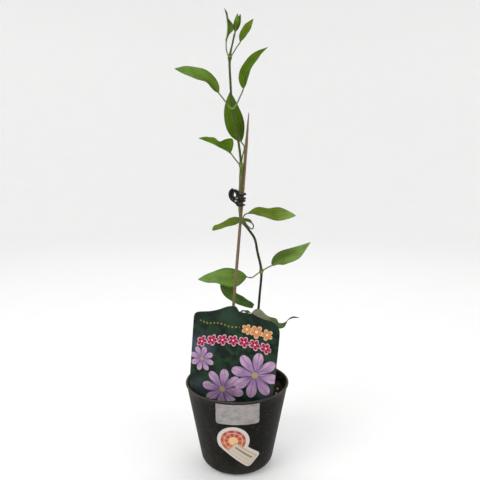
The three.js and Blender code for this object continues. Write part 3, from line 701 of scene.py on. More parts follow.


# Leaves

# Each leaf: its stalk, the blade's middle line, its width, where it is widest, the way
# its upper face looks at base and tip, its fold in degrees, the wave of its edges, where
# an edge bulges or draws in (side, place, spread, amount), its greens at base and tip, and,
# where the leaf has them: between which shares of the blade the one green turns into the
# other (turn), the half that is darkened by painted shade towards the base (shade: side,
# amount, how far along it fades out), the midrib's width (rib), how far the dry base reaches
# (withered), the stalk's radius, and how much it swells under the blade (knob).
LEAVES = {
    "leaf_0_left": dict(
        stalk=[
            STEM_NODES[0], (12, 8.5, 121.5), (4, 7.5, 121.5), (-2, 4.6, 126.5), (-3.6, 2.7, 135),
            (-2.8, 2.6, 145), (-2.3, 5, 151), (-2.7, 10, 154), (-6, 15, 159.5), (-10, 18, 162.6),
            (-13, 18.8, 161.6),
        ],
        blade=[
            (-13.1, 17.9, 158.8), (-11.2, 16.3, 154.8), (-8.6, 15.5, 150.2), (-1.2, 14.5, 145),
            (7.4, 13, 140.8), (14.2, 11.5, 137.8),
        ],
        width=10.4, widest=0.42, face=((0.2, -0.85, 0.45), (0.2, -0.85, 0.45)), fold=10, wave=0.4,
        edges=[
            (1, 1, 0.28, 1.9), (-1, 1, 0.28, 1.9), (-1, 0.5, 0.15, -1.2), (-1, 0.2, 0.13, 2.8),
            (1, 0.08, 0.12, 1.2), (-1, 0.78, 0.12, -0.8),
        ],
        base=(82, 112, 44), tip=(68, 95, 44), turn=(0.2, 0.6),
    ),
    "leaf_0_right": dict(
        stalk=[STEM_NODES[0], (14.5, 3.5, 123), (10.5, 0, 124.5), (9.6, -3, 129)],
        blade=[
            (11.4, -4.5, 133.1), (17.7, -7, 132.5), (24.4, -10, 130.9), (31, -13, 129.2),
            (36.3, -16, 128.7), (39.4, -17.5, 131.3), (42.1, -18.5, 134.8), (45.6, -19, 136.7),
            (51.8, -20, 137.1),
        ],
        width=13, widest=0.3, face=((0.25, 0.8, 0.5), (0.1, 0.7, 0.65)), fold=10, wave=0.4,
        edges=[
            (1, 0.15, 0.12, 5), (1, 0.52, 0.1, 1.8), (1, 0.74, 0.12, -3), (-1, 0.76, 0.16, -2.8),
            (1, 0.88, 0.07, 0.5),
        ],
        base=(104, 126, 80), tip=(56, 66, 40), turn=(0.57, 0.82), withered=0.36,
    ),
    "leaf_1_left": dict(
        stalk=[STEM_NODES[1], (16.8, 5.6, 168), (13, 7, 165), (10.5, 8, 164.6)],
        blade=[(8.3, 9, 165), (-0.1, 11, 163.8), (-13.2, 13, 163), (-24, 14, 162.2), (-34.3, 14, 161.5)],
        width=18, widest=0.4, face=((0, -0.8, 0.6), (0.1, -0.75, 0.65)), fold=9, wave=0.7,
        edges=[(-1, 0.6, 0.16, -2.2), (-1, 0.2, 0.14, 2.2)],
        base=(88, 119, 38), tip=(110, 140, 70),
    ),
    "leaf_1_right": dict(
        stalk=[STEM_NODES[1], (23, 2.5, 172.8), (26, 0.8, 175)],
        blade=[(29.4, -1, 177.2), (34, -2.6, 180.6), (41, -5.4, 184.4), (50, -9.4, 189.4), (60, -15, 199.3)],
        width=14.5, widest=0.34, face=((-0.15, -0.72, 0.68), (-0.2, -0.8, 0.5)), fold=20, wave=0.5,
        edges=[(1, 0.14, 0.12, -2.3), (1, 0.55, 0.2, 1.2)],
        base=(100, 130, 50), tip=(118, 144, 74), shade=(-1, 0.75, 0.8),
    ),
    "leaf_2_left": dict(
        stalk=[
            STEM_NODES[2], (6.1, -1.2, 214.6), (8.6, 1.3, 210.8), (12, 3.6, 207.7),
            (13.4, 5.6, 207.9), (13.9, 7.2, 210),
        ],
        blade=[(12.9, 8.4, 211.6), (9.6, 9.2, 213.7), (0.8, 9, 213.9), (-9, 7, 211), (-20.8, 4, 206.3)],
        width=10, widest=0.5, face=((0.1, -0.35, 0.93), (-0.1, -0.62, 0.78)), fold=8, wave=0.6,
        edges=[(1, 0.92, 0.08, 2), (-1, 0.97, 0.05, 0.5), (1, 0.1, 0.1, 0.8), (-1, 0.1, 0.1, 0.8)],
        base=(76, 98, 22), tip=(98, 122, 36),
    ),
    "leaf_2_right": dict(
        stalk=[STEM_NODES[2], (5, -4.8, 218.2)],
        blade=[(6.8, -6, 221), (15, -8.4, 223), (27, -11.6, 222), (37, -14, 221.2), (47.5, -16, 221)],
        width=13.5, widest=0.6, face=((0, -0.55, 0.83), (0.1, -0.8, 0.6)), fold=8, wave=0.8,
        edges=[(-1, 0.2, 0.14, 1.6)],
        base=(88, 108, 22), tip=(124, 148, 72), turn=(0.55, 0.95),
    ),
    "leaf_3_left": dict(
        stalk=[STEM_NODES[3], (1, -5, 263), (-1.9, -7.5, 266.5)],
        blade=[(-5, -10, 270.5), (-11.7, -14, 274.5), (-20.2, -18, 278.5), (-29.7, -22, 282)],
        width=18, widest=0.22, face=((0.1, -0.72, 0.7), (0.1, -0.6, 0.8)), fold=38, wave=0.9,
        edges=[(1, 0.44, 0.12, -4.4), (1, 0.13, 0.11, 2.2)],
        base=(82, 114, 18), tip=(92, 122, 30), shade=(-1, 0.3, 0.8),
    ),
    "leaf_3_right": dict(
        stalk=[STEM_NODES[3], (3.7, 0.4, 263), (4.5, 3, 268), (5.8, 4.4, 273), (5.9, 5.2, 276.5)],
        blade=[(3.4, 6, 280), (-1, 6.2, 291), (-4.3, 5.4, 304), (-5.6, 3.6, 320)],
        width=16.8, widest=0.42, face=((0, -0.95, -0.25), (0, -0.95, 0.1)), fold=11, wave=0.7,
        edges=[(-1, 0.5, 0.3, -1)],
        base=(65, 92, 10), tip=(88, 116, 28), shade=(1, 0.4, 1.2), rib=1.2,
    ),
    "leaf_4_left": dict(
        stalk=[STEM_NODES[4], (-6.6, -9.6, 308), (-10, -12, 312)],
        blade=[
            (-14.2, -13.6, 317.2), (-17.4, -15.4, 322), (-22.6, -17.4, 326.6), (-34, -20.2, 331),
            (-47.5, -22, 334),
        ],
        width=12, widest=0.42, face=((0.2, -0.9, 0.4), (0, -0.88, 0.47)), fold=12, wave=0.6,
        edges=[(-1, 0.38, 0.17, -2.8), (1, 0.75, 0.15, 0.8)],
        base=(88, 119, 26), tip=(101, 132, 58), shade=(-1, 0.55, 0.6),
    ),
    "leaf_4_right": dict(
        stalk=[STEM_NODES[4], (-0.4, -5.2, 309), (2.3, -4, 314.6)],
        blade=[(5.2, -3, 321.6), (6, -2.4, 330), (9, -1.6, 338), (16.6, 0, 348), (24.8, 1, 354)],
        width=10, widest=0.36, face=((-0.25, -0.95, 0.1), (-0.4, -0.85, 0.3)), fold=18, wave=0.5,
        edges=[(1, 0.35, 0.25, -1.2)],
        base=(74, 104, 12), tip=(87, 115, 22), shade=(1, 0.3, 0.5),
    ),
    "leaf_5_left": dict(
        stalk=[STEM_NODES[5], (-7.9, -5.7, 349.5), (-8.4, -4.8, 354.5)],
        blade=[(-8.2, -4.3, 358.6), (-7.6, -3.8, 363), (-7.3, -3, 369.5), (-8.3, -2, 377), (-10, -1, 383)],
        width=7, widest=0.38, face=((0.75, -0.65, 0), (0.8, -0.6, 0)), fold=48, wave=0.3,
        edges=[(1, 0.15, 0.13, -1.3), (1, 0.36, 0.15, 1.6), (1, 0.66, 0.14, -1.2)],
        base=(114, 144, 48), tip=(78, 92, 46), turn=(0.42, 0.62), shade=(-1, 0.35, 1.3),
        stalk_radius=0.46, knob=0.35,
    ),
    "leaf_5_right": dict(
        stalk=[STEM_NODES[5], (-3, -8.6, 347.6), (-0.4, -10.2, 351.4)],
        blade=[(2.7, -12, 355.4), (4.6, -13, 360), (8, -14.5, 364.6), (12.8, -16, 371.6)],
        width=7.6, widest=0.44, face=((-0.4, -0.9, 0.1), (-0.4, -0.9, 0.1)), fold=18, wave=0.3,
        edges=[(-1, 0.3, 0.2, -0.6)],
        base=(84, 107, 14), tip=(98, 119, 26), stalk_radius=0.46,
    ),
}
TIP_LEAVES = [
    dict(
        stalk=[(-2.3, -7, 360), (-1.9, -7.2, 361.5)],
        blade=[(-1.5, -7.5, 363.4), (-0.6, -8.1, 369), (0.6, -7.9, 377.6)],
        width=5.2, widest=0.46, face=((0.1, 0.99, 0), (0.1, 0.99, 0)), fold=30, wave=0,
        base=(50, 80, 4), tip=(88, 112, 34), turn=(0.42, 0.68),
    ),
    dict(
        stalk=[(-2.3, -7, 360), (-1.7, -6.8, 361.5)],
        blade=[(-1.3, -6.7, 363.6), (0.6, -5.5, 370), (3, -5.8, 377.4)],
        width=4.6, widest=0.46, face=((-0.2, -0.98, 0), (-0.2, -0.98, 0)), fold=6, wave=0,
        base=(50, 80, 4), tip=(88, 112, 34), turn=(0.42, 0.68),
    ),
]
DRY_SCALE = dict(
    blade=[
        (14, -7.4, 136.2), (11.5, -6.6, 137.4), (8.5, -5.8, 138), (5.9, -5.2, 138.6),
        (3.8, -4.8, 138), (2.4, -4.6, 136.8),
    ],
    width=2.4, widest=0.55, face=((0.1, -0.6, 0.7), (-0.1, -0.7, 0.6)), fold=24, wave=1,
    base=(112, 116, 92), tip=(66, 70, 56),
)
BLADE_ROWS = 76
BLADE_COLUMNS = 30
BLADE_THIN = 0.48
# Where the side veins run, as shares of the half width.
VEINS = (0.36, 0.7)
VEIN_DEPTH = 0.2
STALK_RADIUS = 0.55
STALK_SIDES = 12


def blade_half_width(leaf, share, side):
    bend = math.log(0.5) / math.log(leaf["widest"])
    swell = np.maximum(np.sin(math.pi * share**bend), 0) ** 0.85
    half_width = leaf["width"] / 2 * swell + 0 * side
    for edge, where, spread, growth in leaf.get("edges", ()):
        half_width = half_width + (side == edge) * growth * hump(share - where, spread)
    return np.maximum(half_width, 0.1)


def blade_shape(leaf):
    """The blade as a thin closed skin, with sunk veins above and raised ones below."""
    wave = leaf["wave"]
    even = np.linspace(0, 1, BLADE_ROWS)
    share = 0.5 * even + 0.25 * (1 - np.cos(math.pi * even))
    path = smooth_path(leaf["blade"])
    points, tangent = along_path(path, share)
    normal = np.outer(1 - share, leaf["face"][0]) + np.outer(share, leaf["face"][1])
    normal = unit(normal - tangent * np.sum(normal * tangent, 1, keepdims=True))
    side = np.cross(tangent, normal)
    fold = math.radians(leaf["fold"])
    even = np.linspace(-1, 1, BLADE_COLUMNS + 1)
    across = (np.sign(even) * np.abs(even) ** 1.25)[None]
    share = share[:, None]
    half_width = blade_half_width(leaf, share, np.sign(across))
    ruffle = soft_noise(share * 9, 10 * leaf["width"], across * 1.5)
    ripple = np.sin(2 * math.pi * (2.2 * share + 0.25 * np.sign(across)))
    waves = (wave * ripple * across**2 + 0.35 * wave * ruffle * np.abs(across)) * np.sin(math.pi * share)
    rise = half_width * math.sin(fold) * np.abs(across) ** 1.2 + waves + 0.15
    off_rib = across * half_width
    veins = hump(off_rib, 0.3) * np.clip((1 - share) * 3, 0, 1)
    for vein in VEINS:
        nearness = hump((np.abs(across) - vein) * half_width, 0.22)
        veins = veins + 0.45 * nearness * np.sin(math.pi * share) ** 0.5
    half_thick = BLADE_THIN / 2 * np.sqrt(np.clip(1 - across**4, 0, 1)) * np.clip(half_width / 1.5, 0.2, 1)
    half_thick = half_thick * np.where((share <= 0) | (share >= 1), 0, 1)
    middle = points[:, None] + side[:, None] * (off_rib * math.cos(fold))[:, :, None]
    veins = veins * np.clip(half_width / 3, 0, 1)
    closed = (np.abs(across) > 0.999) | (share <= 0) | (share >= 1)
    skins = []
    for off in (half_thick - VEIN_DEPTH * veins, -half_thick - 1.1 * VEIN_DEPTH * veins):
        height = np.where(closed, rise, rise + off)
        skins.append((middle + normal[:, None] * height[:, :, None]).reshape(-1, 3))
    columns = BLADE_COLUMNS + 1
    grid = np.arange(BLADE_ROWS * columns).reshape(BLADE_ROWS, columns)
    below = np.where(np.broadcast_to(closed, grid.shape), grid, grid + grid.size)
    faces = []
    for row in range(BLADE_ROWS - 1):
        for column in range(BLADE_COLUMNS):
            corners = [(row, column), (row, column + 1), (row + 1, column + 1), (row + 1, column)]
            faces.append(tuple(grid[corner] for corner in corners))
            faces.append(tuple(below[corner] for corner in corners[::-1]))
    length = path_lengths(path)[-1]
    blank = np.zeros(grid.shape)
    places = [
        np.stack([blank + share * length, blank + off_rib, blank + upper], 2).reshape(-1, 3)
        for upper in (1, 0)
    ]
    fraction = np.stack([blank + share, blank + across, blank], 2).reshape(-1, 3)
    return dropped_loose(np.vstack(skins), faces, np.vstack(places), np.vstack([fraction] * 2))


def dropped_loose(vertices, faces, *places):
    """Leaves out the vertices that no face uses."""
    used = sorted({corner for face in faces for corner in face})
    number = {corner: i for i, corner in enumerate(used)}
    faces = [tuple(number[corner] for corner in face) for face in faces]
    return (vertices[used], faces), *(place[used] for place in places)


def stalk_shape(leaf):
    """The stalk, which runs on under the blade as its midrib."""
    path = smooth_path([*leaf["stalk"], *leaf["blade"]])
    total = path_lengths(path)[-1]
    start = 1 - path_lengths(smooth_path(leaf["blade"]))[-1] / total
    shares = np.linspace(0, start + (1 - start) * 0.8, 90)
    on_rib = np.clip((shares - start) / ((1 - start) * 0.8), 0, 1)
    radii = leaf.get("stalk_radius", STALK_RADIUS) * (1 - on_rib) + 0.1 * on_rib
    radii = radii + 0.25 * hump(shares * total, 1.6)
    radii = radii + leaf.get("knob", 0) * hump((shares - start) * total, 0.9)
    return tube(path, shares, radii, STALK_SIDES), shares


def tinted(colour, factor):
    return srgb(*(channel * factor for channel in colour))


def leaf_finish(name, leaf):
    """A leaf's green: long arching veins, a net of fine ones, and a paler underside."""
    finish = Finish(name)
    along, off, upper = finish.place("leaf_place")
    share, across, _ = finish.place("leaf_share")
    spot = finish.at(along, off, upper * 7)
    patch = finish.grain(spot, 9, 3)
    mottle = finish.grain(spot, 1.3, 4, 0.6)
    streaks = finish.grain(finish.at(along * 0.22, off, upper * 7), 1.1, 3)
    side = abs(across)
    fading = share.rise(1.0, 0.7)
    midrib = off.line(leaf.get("rib", 0.5)) * fading
    arches = midrib * 0
    for vein in VEINS:
        arches = arches.maths("MAXIMUM", (side - vein).line(0.07) * fading)
    branch = along * 0.3 - side * 1.6 + finish.grain(spot, 3, 2) * 0.8
    branches = abs((branch % 1) - 0.5).rise(0.14, 0.03) * side.rise(0.95, 0.6)
    base, tip = leaf["base"], leaf["tip"]
    to_tip = share.rise(*leaf.get("turn", (0.1, 0.9)))
    deep = finish.mix(to_tip, tinted(base, 0.84), tinted(tip, 0.88))
    lit = finish.mix(to_tip, tinted(base, 1.12), tinted(tip, 1.12))
    pale = srgb(*(0.75 * channel + 0.25 * light for channel, light in zip(tip, (176, 200, 110))))
    cloud = patch * 0.7 + streaks * 0.5
    green = finish.mix(cloud.rise(0.35, 0.85), deep, lit)
    green = finish.mix(mottle.rise(0.45, 0.8) * 0.3, green, lit)
    green = finish.mix(branches * 0.16, green, pale)
    green = finish.mix(arches * 0.32, green, pale)
    # Painted shade: one half of the blade is darker towards the base.
    if "shade" in leaf:
        half, amount, reach = leaf["shade"]
        shaded = (across * half).rise(-0.05, 0.3) * share.rise(reach, reach - 0.45)
        green = finish.mix(shaded * amount, green, tinted(base, 0.66))
    green = finish.mix(midrib * 0.45, green, pale)
    green = finish.mix(side.rise(0.88, 1.0) * 0.6, green, tinted(base, 0.62))
    back = finish.mix(to_tip, tinted(base, 1.02), tinted(tip, 1.15))
    back = finish.mix(cloud.rise(0.5, 0.8) * 0.35, back, pale)
    back = finish.mix((midrib + arches * 0.6 + branches * 0.3).rise(0, 1) * 0.5, back, pale)
    if "withered" in leaf:
        husk = mottle.shades(0.3, 0.75, (132, 134, 106), (178, 176, 148))
        husk = husk.coat(streaks.rise(0.5, 0.75) * 0.5, 200, 196, 170)
        edge = leaf["withered"]
        back = finish.mix(share.rise(edge + 0.04, edge - 0.04), back, husk)
        dry = share.rise(0.62, 0.8)
        back = finish.mix(dry * 0.8, back, tinted(tip, 0.9))
        green = finish.mix(dry * 0.8, green, tinted(tip, 0.9))
    colour = finish.mix(upper.rise(0.4, 0.6), back, green)
    height = streaks * 0.3 + mottle * 0.15 - branches * 0.25 - arches * 0.6 - midrib
    rough = 0.48 + mottle * 0.16 + (1 - upper) * 0.12
    return finish.surface(colour, rough, 0.05, height, 0.12, 0.6)


def stalk_finish():
    """Grey-green skin, greener near the stem."""
    finish = Finish("leaf stalks")
    share, _, _ = finish.place("leaf_share")
    lines = finish.grain(finish.at(*finish.spot()), 0.8, 4)
    skin = lines.shades(0.35, 0.7, (80, 98, 48), (116, 130, 74))
    skin = skin.coat(share.rise(0.05, 0.35) * 0.6, 96, 104, 74)
    return finish.surface(skin, 0.5 + lines * 0.2, 0.2, lines, 0.08)


def leaf_parts(leaf):
    (blade, blade_faces), place, share = blade_shape(leaf)
    (stalk, stalk_faces), stalk_shares = stalk_shape(leaf)
    rings = np.repeat(stalk_shares, STALK_SIDES)
    stalk_share = np.zeros((len(stalk), 3))
    stalk_share[:len(rings), 0] = rings
    shape = joined((blade, blade_faces), (stalk, stalk_faces))
    finish_numbers = [0] * len(blade_faces) + [1] * len(stalk_faces)
    places = {
        "leaf_place": np.vstack([place, np.zeros((len(stalk), 3))]),
        "leaf_share": np.vstack([share, stalk_share]),
    }
    return shape, finish_numbers, places


# Where the two stalks of a pair meet, a raised ridge runs round the stem's front.
RIDGES = {
    "joint_4_ridge": [
        (-7.6, -10.1, 309.2), (-5.9, -9.9, 307), (-4.4, -9.5, 305.6), (-2.9, -9, 305.8),
        (-1.5, -7.9, 307.4), (-0.5, -5.8, 309.2),
    ],
    "joint_5_ridge": [
        (-7.3, -6.2, 348), (-6.6, -7.4, 346), (-5.6, -8.3, 345.2), (-4.4, -8.2, 345.6),
        (-3.4, -8.3, 347),
    ],
    "joint_3_ridge": [
        (1.2, -4.9, 262.9), (2, -4.6, 261.4), (3.2, -4.5, 260.7), (4.4, -3.8, 261.2),
        (4.6, -1.6, 262.4),
    ],
    "joint_1_ridge": [
        (18.2, 4.2, 169.4), (19.4, 2.6, 170.4), (20.9, 2.1, 170.6), (22.2, 2.3, 171.8),
        (23, 2.4, 172.8),
    ],
}


def ridge_finish():
    finish = Finish("pale ridges")
    lines = finish.grain(finish.at(*finish.spot()), 0.9, 4)
    skin = lines.shades(0.3, 0.7, (96, 124, 50), (126, 152, 76))
    return finish.surface(skin, 0.5 + lines * 0.2, 0.2, lines, 0.08)


def make_ridges():
    skin = ridge_finish()
    shares = np.linspace(0, 1, 48)
    radii = 0.4 + 0.4 * np.sin(math.pi * shares)
    for name, points in RIDGES.items():
        piece(name, tube(smooth_path(points), shares, radii, 12), [skin], crease=80)


def make_leaves():
    stalks = stalk_finish()
    for name, leaf in LEAVES.items():
        shape, numbers, places = leaf_parts(leaf)
        finishes = [leaf_finish(name.replace("_", " ") + " green", leaf), stalks]
        piece("clematis_" + name, shape, finishes, [name], numbers, places, 60)
    shape, place, share = blade_shape(DRY_SCALE)
    places = {"leaf_place": place, "leaf_share": share}
    finish = leaf_finish("dry scale", DRY_SCALE)
    piece("dry_scale", shape, [finish], places=places, crease=60)
    parts = [leaf_parts(leaf) for leaf in TIP_LEAVES]
    numbers = parts[0][1] + parts[1][1]
    places = {key: np.vstack([part[2][key] for part in parts]) for key in parts[0][2]}
    shape = joined(*(part[0] for part in parts))
    finishes = [leaf_finish("shoot tip green", TIP_LEAVES[0]), stalks]
    piece("clasped_shoot_tip", shape, finishes, ["shoot_tip"], numbers, places, 60)


# Card and stickers

CARD_CENTRE = np.array([-4, -24.4, 67])
CARD_TURN = math.radians(-11.7)
CARD_LEAN = math.radians(4.4)
CARD_CURVE_RADIUS = 173
CARD_TOP = [
    (-39.2, 66), (-38.6, 69.2), (-36.5, 71), (-34, 72), (-31, 72.6), (-24, 74.1), (-17.5, 76.5),
    (-11.2, 79.8), (-9, 80.7), (-4.9, 81.6), (-2.7, 81.4), (-1.2, 79.4), (0.2, 77.3), (2.2, 77.2),
    (9, 77.1), (10.5, 77), (14.4, 75.5), (20.8, 73.3), (25.1, 72.8), (28, 71.5), (30.5, 70),
    (32.4, 68.3), (33.6, 66), (34.4, 62.5),
]
CARD_FOOT = [
    (34.4, 50), (33.6, 14), (32.4, 5), (30.5, 0), (28, -2.6), (25.1, -3), (9, -3), (4.3, -29),
    (2.2, -40), (0.2, -45), (-1.2, -44), (-2.7, -38), (-4.9, -26), (-9, -3), (-31, -3), (-34, -2),
    (-36.5, 0.5), (-38.6, 5), (-39.2, 9),
]
CARD_THIN = 0.6
STICKER_THIN = 0.22
STICKER_WHITE = (214, 206, 200)
# Left, right, lower and upper edge, and the radius of the lower corners.
PAPER_STICKER = (-17.2, 18.2, 53.8, 72.7, 2)
# The disc's place and radius, and how its tab leans, ends and is bounded.
ROUND_STICKER = (-3, 38.2, 13.4)
TAB_LEAN = math.radians(-40)
TAB_REACH = 27.2
TAB_UPPER_EDGE = 3
TAB_LOWER_EDGE = -12.6
TAB_CORNER = 3.2
# How far the stickers' middle stands off the wall.
STICKER_OFFSET = 0.16


def card_place(across, height, outward):
    """A point of the bent, leaning card."""
    angle = across / CARD_CURVE_RADIUS
    reach = CARD_CURVE_RADIUS + outward
    x, y = reach * np.sin(angle), CARD_CURVE_RADIUS - reach * np.cos(angle)
    x, z = turned(x, height, -CARD_LEAN)
    x, y = turned(x, y, CARD_TURN)
    return np.stack([x, y, z], -1) + CARD_CENTRE


def card_offset(x, y):
    """How far a point of the soil lies in front of or behind the card."""
    along, off = turned(x - CARD_CENTRE[0], y - CARD_CENTRE[1], -CARD_TURN)
    return off - along**2 / (2 * CARD_CURVE_RADIUS) if -42 < along < 37 else 99


def rounded(outline):
    """The outline with its corners cut twice, so that it runs smoothly."""
    outline = np.array(outline, float)
    for _ in range(2):
        ahead = np.roll(outline, -1, axis=0)
        outline = np.stack([0.8 * outline + 0.2 * ahead, 0.2 * outline + 0.8 * ahead], 1).reshape(-1, 2)
    return outline


def resampled(outline, spacing):
    """Points at even spacing round a closed outline."""
    closed = np.vstack([outline, outline[:1]])
    lengths = path_lengths(closed)
    at = np.linspace(0, lengths[-1], int(lengths[-1] / spacing), endpoint=False)
    return np.stack([np.interp(at, lengths, closed[:, i]) for i in range(2)], 1)


def inside_outline(points, outline):
    """Whether each point lies inside a closed outline."""
    x, y = points[:, 0], points[:, 1]
    inside = np.zeros(len(points), bool)
    for (ax, ay), (bx, by) in zip(outline, np.roll(outline, -1, axis=0)):
        crosses = (ay > y) != (by > y)
        inside ^= crosses & (x < (bx - ax) * (y - ay) / (by - ay + 1e-12) + ax)
    return inside


def sheet_shape(outline, spacing, place, thickness, edge):
    """A thin sheet cut to an outline and laid by place(across, height, outward)."""
    outline = resampled(np.array(outline, float), spacing)
    low, high = outline.min(0), outline.max(0)
    steps = (np.arange(a, b, spacing) for a, b in zip(low, high))
    grid = np.stack(np.meshgrid(*steps), -1).reshape(-1, 2)
    following = np.roll(outline, -1, axis=0)
    ahead = unit(following - np.roll(outline, 1, axis=0))
    turn = np.sum(outline[:, 0] * following[:, 1] - outline[:, 1] * following[:, 0])
    inward = np.stack([-ahead[:, 1], ahead[:, 0]], 1) * np.sign(turn)
    inner = outline + inward * edge
    grid = grid[inside_outline(grid, inner + inward * spacing * 0.5)]
    flat = np.vstack([inner, grid])
    border = [(i, (i + 1) % len(inner)) for i in range(len(inner))]
    made = delaunay_2d_cdt([Vector(p) for p in flat], border, [], 1, 1e-5)
    flat = np.array([tuple(p) for p in made[0]])
    count = len(flat)
    front = place(flat[:, 0], flat[:, 1], np.full(count, thickness / 2))
    back = place(flat[:, 0], flat[:, 1], np.full(count, -thickness / 2))
    side = place(outline[:, 0], outline[:, 1], np.zeros(len(outline)))
    faces, numbers = [], []
    for face in made[2]:
        a, b, c = (flat[corner] for corner in face[:3])
        ccw = (b[0] - a[0]) * (c[1] - a[1]) - (b[1] - a[1]) * (c[0] - a[0]) > 0
        face = tuple(face) if ccw else tuple(face[::-1])
        faces += [face, tuple(count + corner for corner in face[::-1])]
        numbers += [0, 1]
    for i, after in border:
        if turn < 0:
            i, after = after, i
        a, b = 2 * count + i, 2 * count + after
        faces += [(a, b, after, i), (count + i, count + after, b, a)]
        numbers += [0, 0]
    places = np.vstack([flat, flat, outline])
    places = np.hstack([places, np.zeros((len(places), 1))])
    return (np.vstack([front, back, side]), faces), numbers, {"print_place": places}


# Soft patches of the card's ground: place, reach, strength and colour.
CARD_HAZE = (
    (-31, 41, 17, 0.7, (84, 88, 108)),
    (-30, 6, 14, 0.6, (66, 74, 84)),
    (27, 10, 12, 0.6, (74, 82, 96)),
    (-8, 72, 14, 0.5, (52, 80, 58)),
)
# Blossoms of the card: place, radius, number of petals and turn.
CARD_BLOSSOMS = (
    (-29, 32, 11, 8, 0.9),
    (-9, 9, 18, 8, 0.2),
    (17, 25, 20, 8, 0.5),
)
CARD_ORANGE_BLOSSOMS = ((7.5, 63.5, 4.6, 0.1), (15.5, 62.2, 5.8, 0.8), (24.2, 60.5, 5, 1.5))
# Rim, petals and heart of the small blossoms, and how far out the heart fades.
PINK_BLOSSOM = ((220, 178, 194), (168, 24, 68), (232, 200, 200), 0.18, 0.13)
ORANGE_BLOSSOM = ((226, 190, 146), (208, 134, 84), (236, 214, 160), 0.24, 0.18)
GARLAND_SPACING = 9
GARLAND_START = -34.5
GARLAND_END = 28.5
BEAD_SPACING = 3.1
BEADS_START = -32.9
BEADS_END = 1.4


def blossom(finish, x, y, radius, petals, turn):
    """A simple flower at the origin of x and y: how deep inside, how far out, and its lobes."""
    reach = distance(x, y) / radius
    angle = finish.maths("ARCTAN2", y, x)
    lobe = abs((angle * (petals / 2) + turn).maths("COSINE"))
    inside = 0.42 + lobe**0.6 * 0.58 - reach
    return inside, reach, lobe, angle


def small_blossom(ground, inside, reach, within, colours):
    """The ground with a simple flower painted on it."""
    rim, petal, heart, low, high = colours
    ground = ground.coat(inside.rise(-0.02, 0.04) * within, *rim)
    ground = ground.coat(inside.rise(0.14, 0.2) * within, *petal)
    return ground.coat(reach.rise(low, high) * within, *heart)


def card_print():
    """The card's own printed front: large lilac blossoms under a garland on dark green."""
    finish = Finish("printed card")
    across, height, _ = finish.place("print_place")
    place = finish.at(across, height)
    foliage = finish.grain(place, 9, 3)
    blades = finish.grain(finish.at(across * 0.5 + height * 0.35, height * 0.16), 2.6, 2)
    ground = foliage.shades(0.42, 0.6, (18, 31, 25), (35, 58, 39))
    ground = ground.coat(blades.rise(0.55, 0.68) * 0.6, 46, 78, 50)
    ground = ground.coat(height.rise(56, 70) * 0.6, 22, 38, 34)
    for x, y, reach, share, tone in CARD_HAZE:
        ground = ground.coat(distance(across - x, height - y).rise(reach, 2) * share, *tone)
    for x, y, radius, petals, turn in CARD_BLOSSOMS:
        inside, reach, lobe, angle = blossom(finish, across - x, height - y, radius, petals, turn)
        ribs = finish.grain(finish.at(angle * 5, reach * 1.2, radius), 0.5, 3)
        petal = reach.shades(0.1, 0.95, (124, 88, 138), (190, 154, 188))
        petal = petal.coat(ribs.rise(0.42, 0.7) * 0.6, 220, 190, 210)
        petal = petal.coat(ribs.rise(0.46, 0.3) * 0.45, 112, 76, 132)
        petal = petal.coat(lobe.rise(0.5, 0.12) * 0.7, 78, 54, 98)
        petal = petal.coat(lobe.rise(0.985, 1) * 0.4, 124, 84, 146)
        heart = finish.mix(ribs, srgb(120, 106, 62), srgb(206, 192, 140))
        petal = finish.mix(reach.rise(0.15, 0.11), petal, heart)
        ground = finish.mix(inside.rise(0, 0.03), ground, petal)
    arch = height - 52.5 + across * across * 0.006
    cell = ((across - GARLAND_START) % GARLAND_SPACING) - GARLAND_SPACING / 2
    inside, reach, _, _ = blossom(finish, cell, arch, 5.1, 5, 0.3)
    within = across.within(GARLAND_START, GARLAND_END, 0.2)
    ground = small_blossom(ground, inside, reach, within, PINK_BLOSSOM)
    for x, y, radius, turn in CARD_ORANGE_BLOSSOMS:
        inside, reach, _, _ = blossom(finish, across - x, height - y, radius, 5, turn)
        ground = small_blossom(ground, inside, reach, 1, ORANGE_BLOSSOM)
    bead = ((across + 31) % BEAD_SPACING) - BEAD_SPACING / 2
    wave = height - 64.5 - (across * 0.3).maths("SINE") * 0.8
    beads = distance(bead, wave).rise(0.85, 0.65) * across.within(BEADS_START, BEADS_END, 0.2)
    ground = ground.coat(beads, 138, 136, 54)
    scuffs = finish.grain(place, 6, 5, 0.7)
    ground = ground.coat(scuffs.rise(0.55, 0.8) * 0.1, 130, 130, 136)
    return finish.surface(ground, 0.4 + scuffs * 0.2, 0.12, finish.grain(place, 14, 2), 1.2, 0.25)


def plain_paper(name, light, shade, creasing):
    """Uncoated paper or board, with fibres and faint creases."""
    finish = Finish(name)
    across, height, _ = finish.place("print_place")
    place = finish.at(across, height)
    fibres = finish.grain(place, 0.35, 4, 0.7)
    stain = finish.grain(place, 6.4, 4)
    tone = stain.shades(0.35, 0.7, light, shade)
    # Painted shade: the creases are darkened as well as sunk into the bumps.
    crease = finish.cells(finish.at(across * 0.35, height), 4.2, "DISTANCE_TO_EDGE").rise(0.07, 0)
    crease = crease * stain.rise(0.3, 0.6) * creasing
    tone = tone.coat(crease * 0.5, 118, 114, 112)
    tone = tone.coat(fibres.rise(0.55, 0.8) * 0.25, 204, 202, 204)
    bumps = fibres * 0.3 + stain * 0.8 - crease * 0.5
    return finish.surface(tone, 0.6 + fibres * 0.2, 0.15, bumps, 0.25, 0.7)


def on_wall(across, height, outward):
    """A point of the pot's wall, as seen from the front, set off by the given height."""
    reach = wall_radius(height, outward + STICKER_OFFSET)
    return np.stack([across, -np.sqrt(reach**2 - across**2), height], -1)


def arc(x, y, radius, start, end, steps=14):
    angles = np.linspace(start, end, steps)
    return [(x + radius * math.cos(a), y + radius * math.sin(a)) for a in angles]


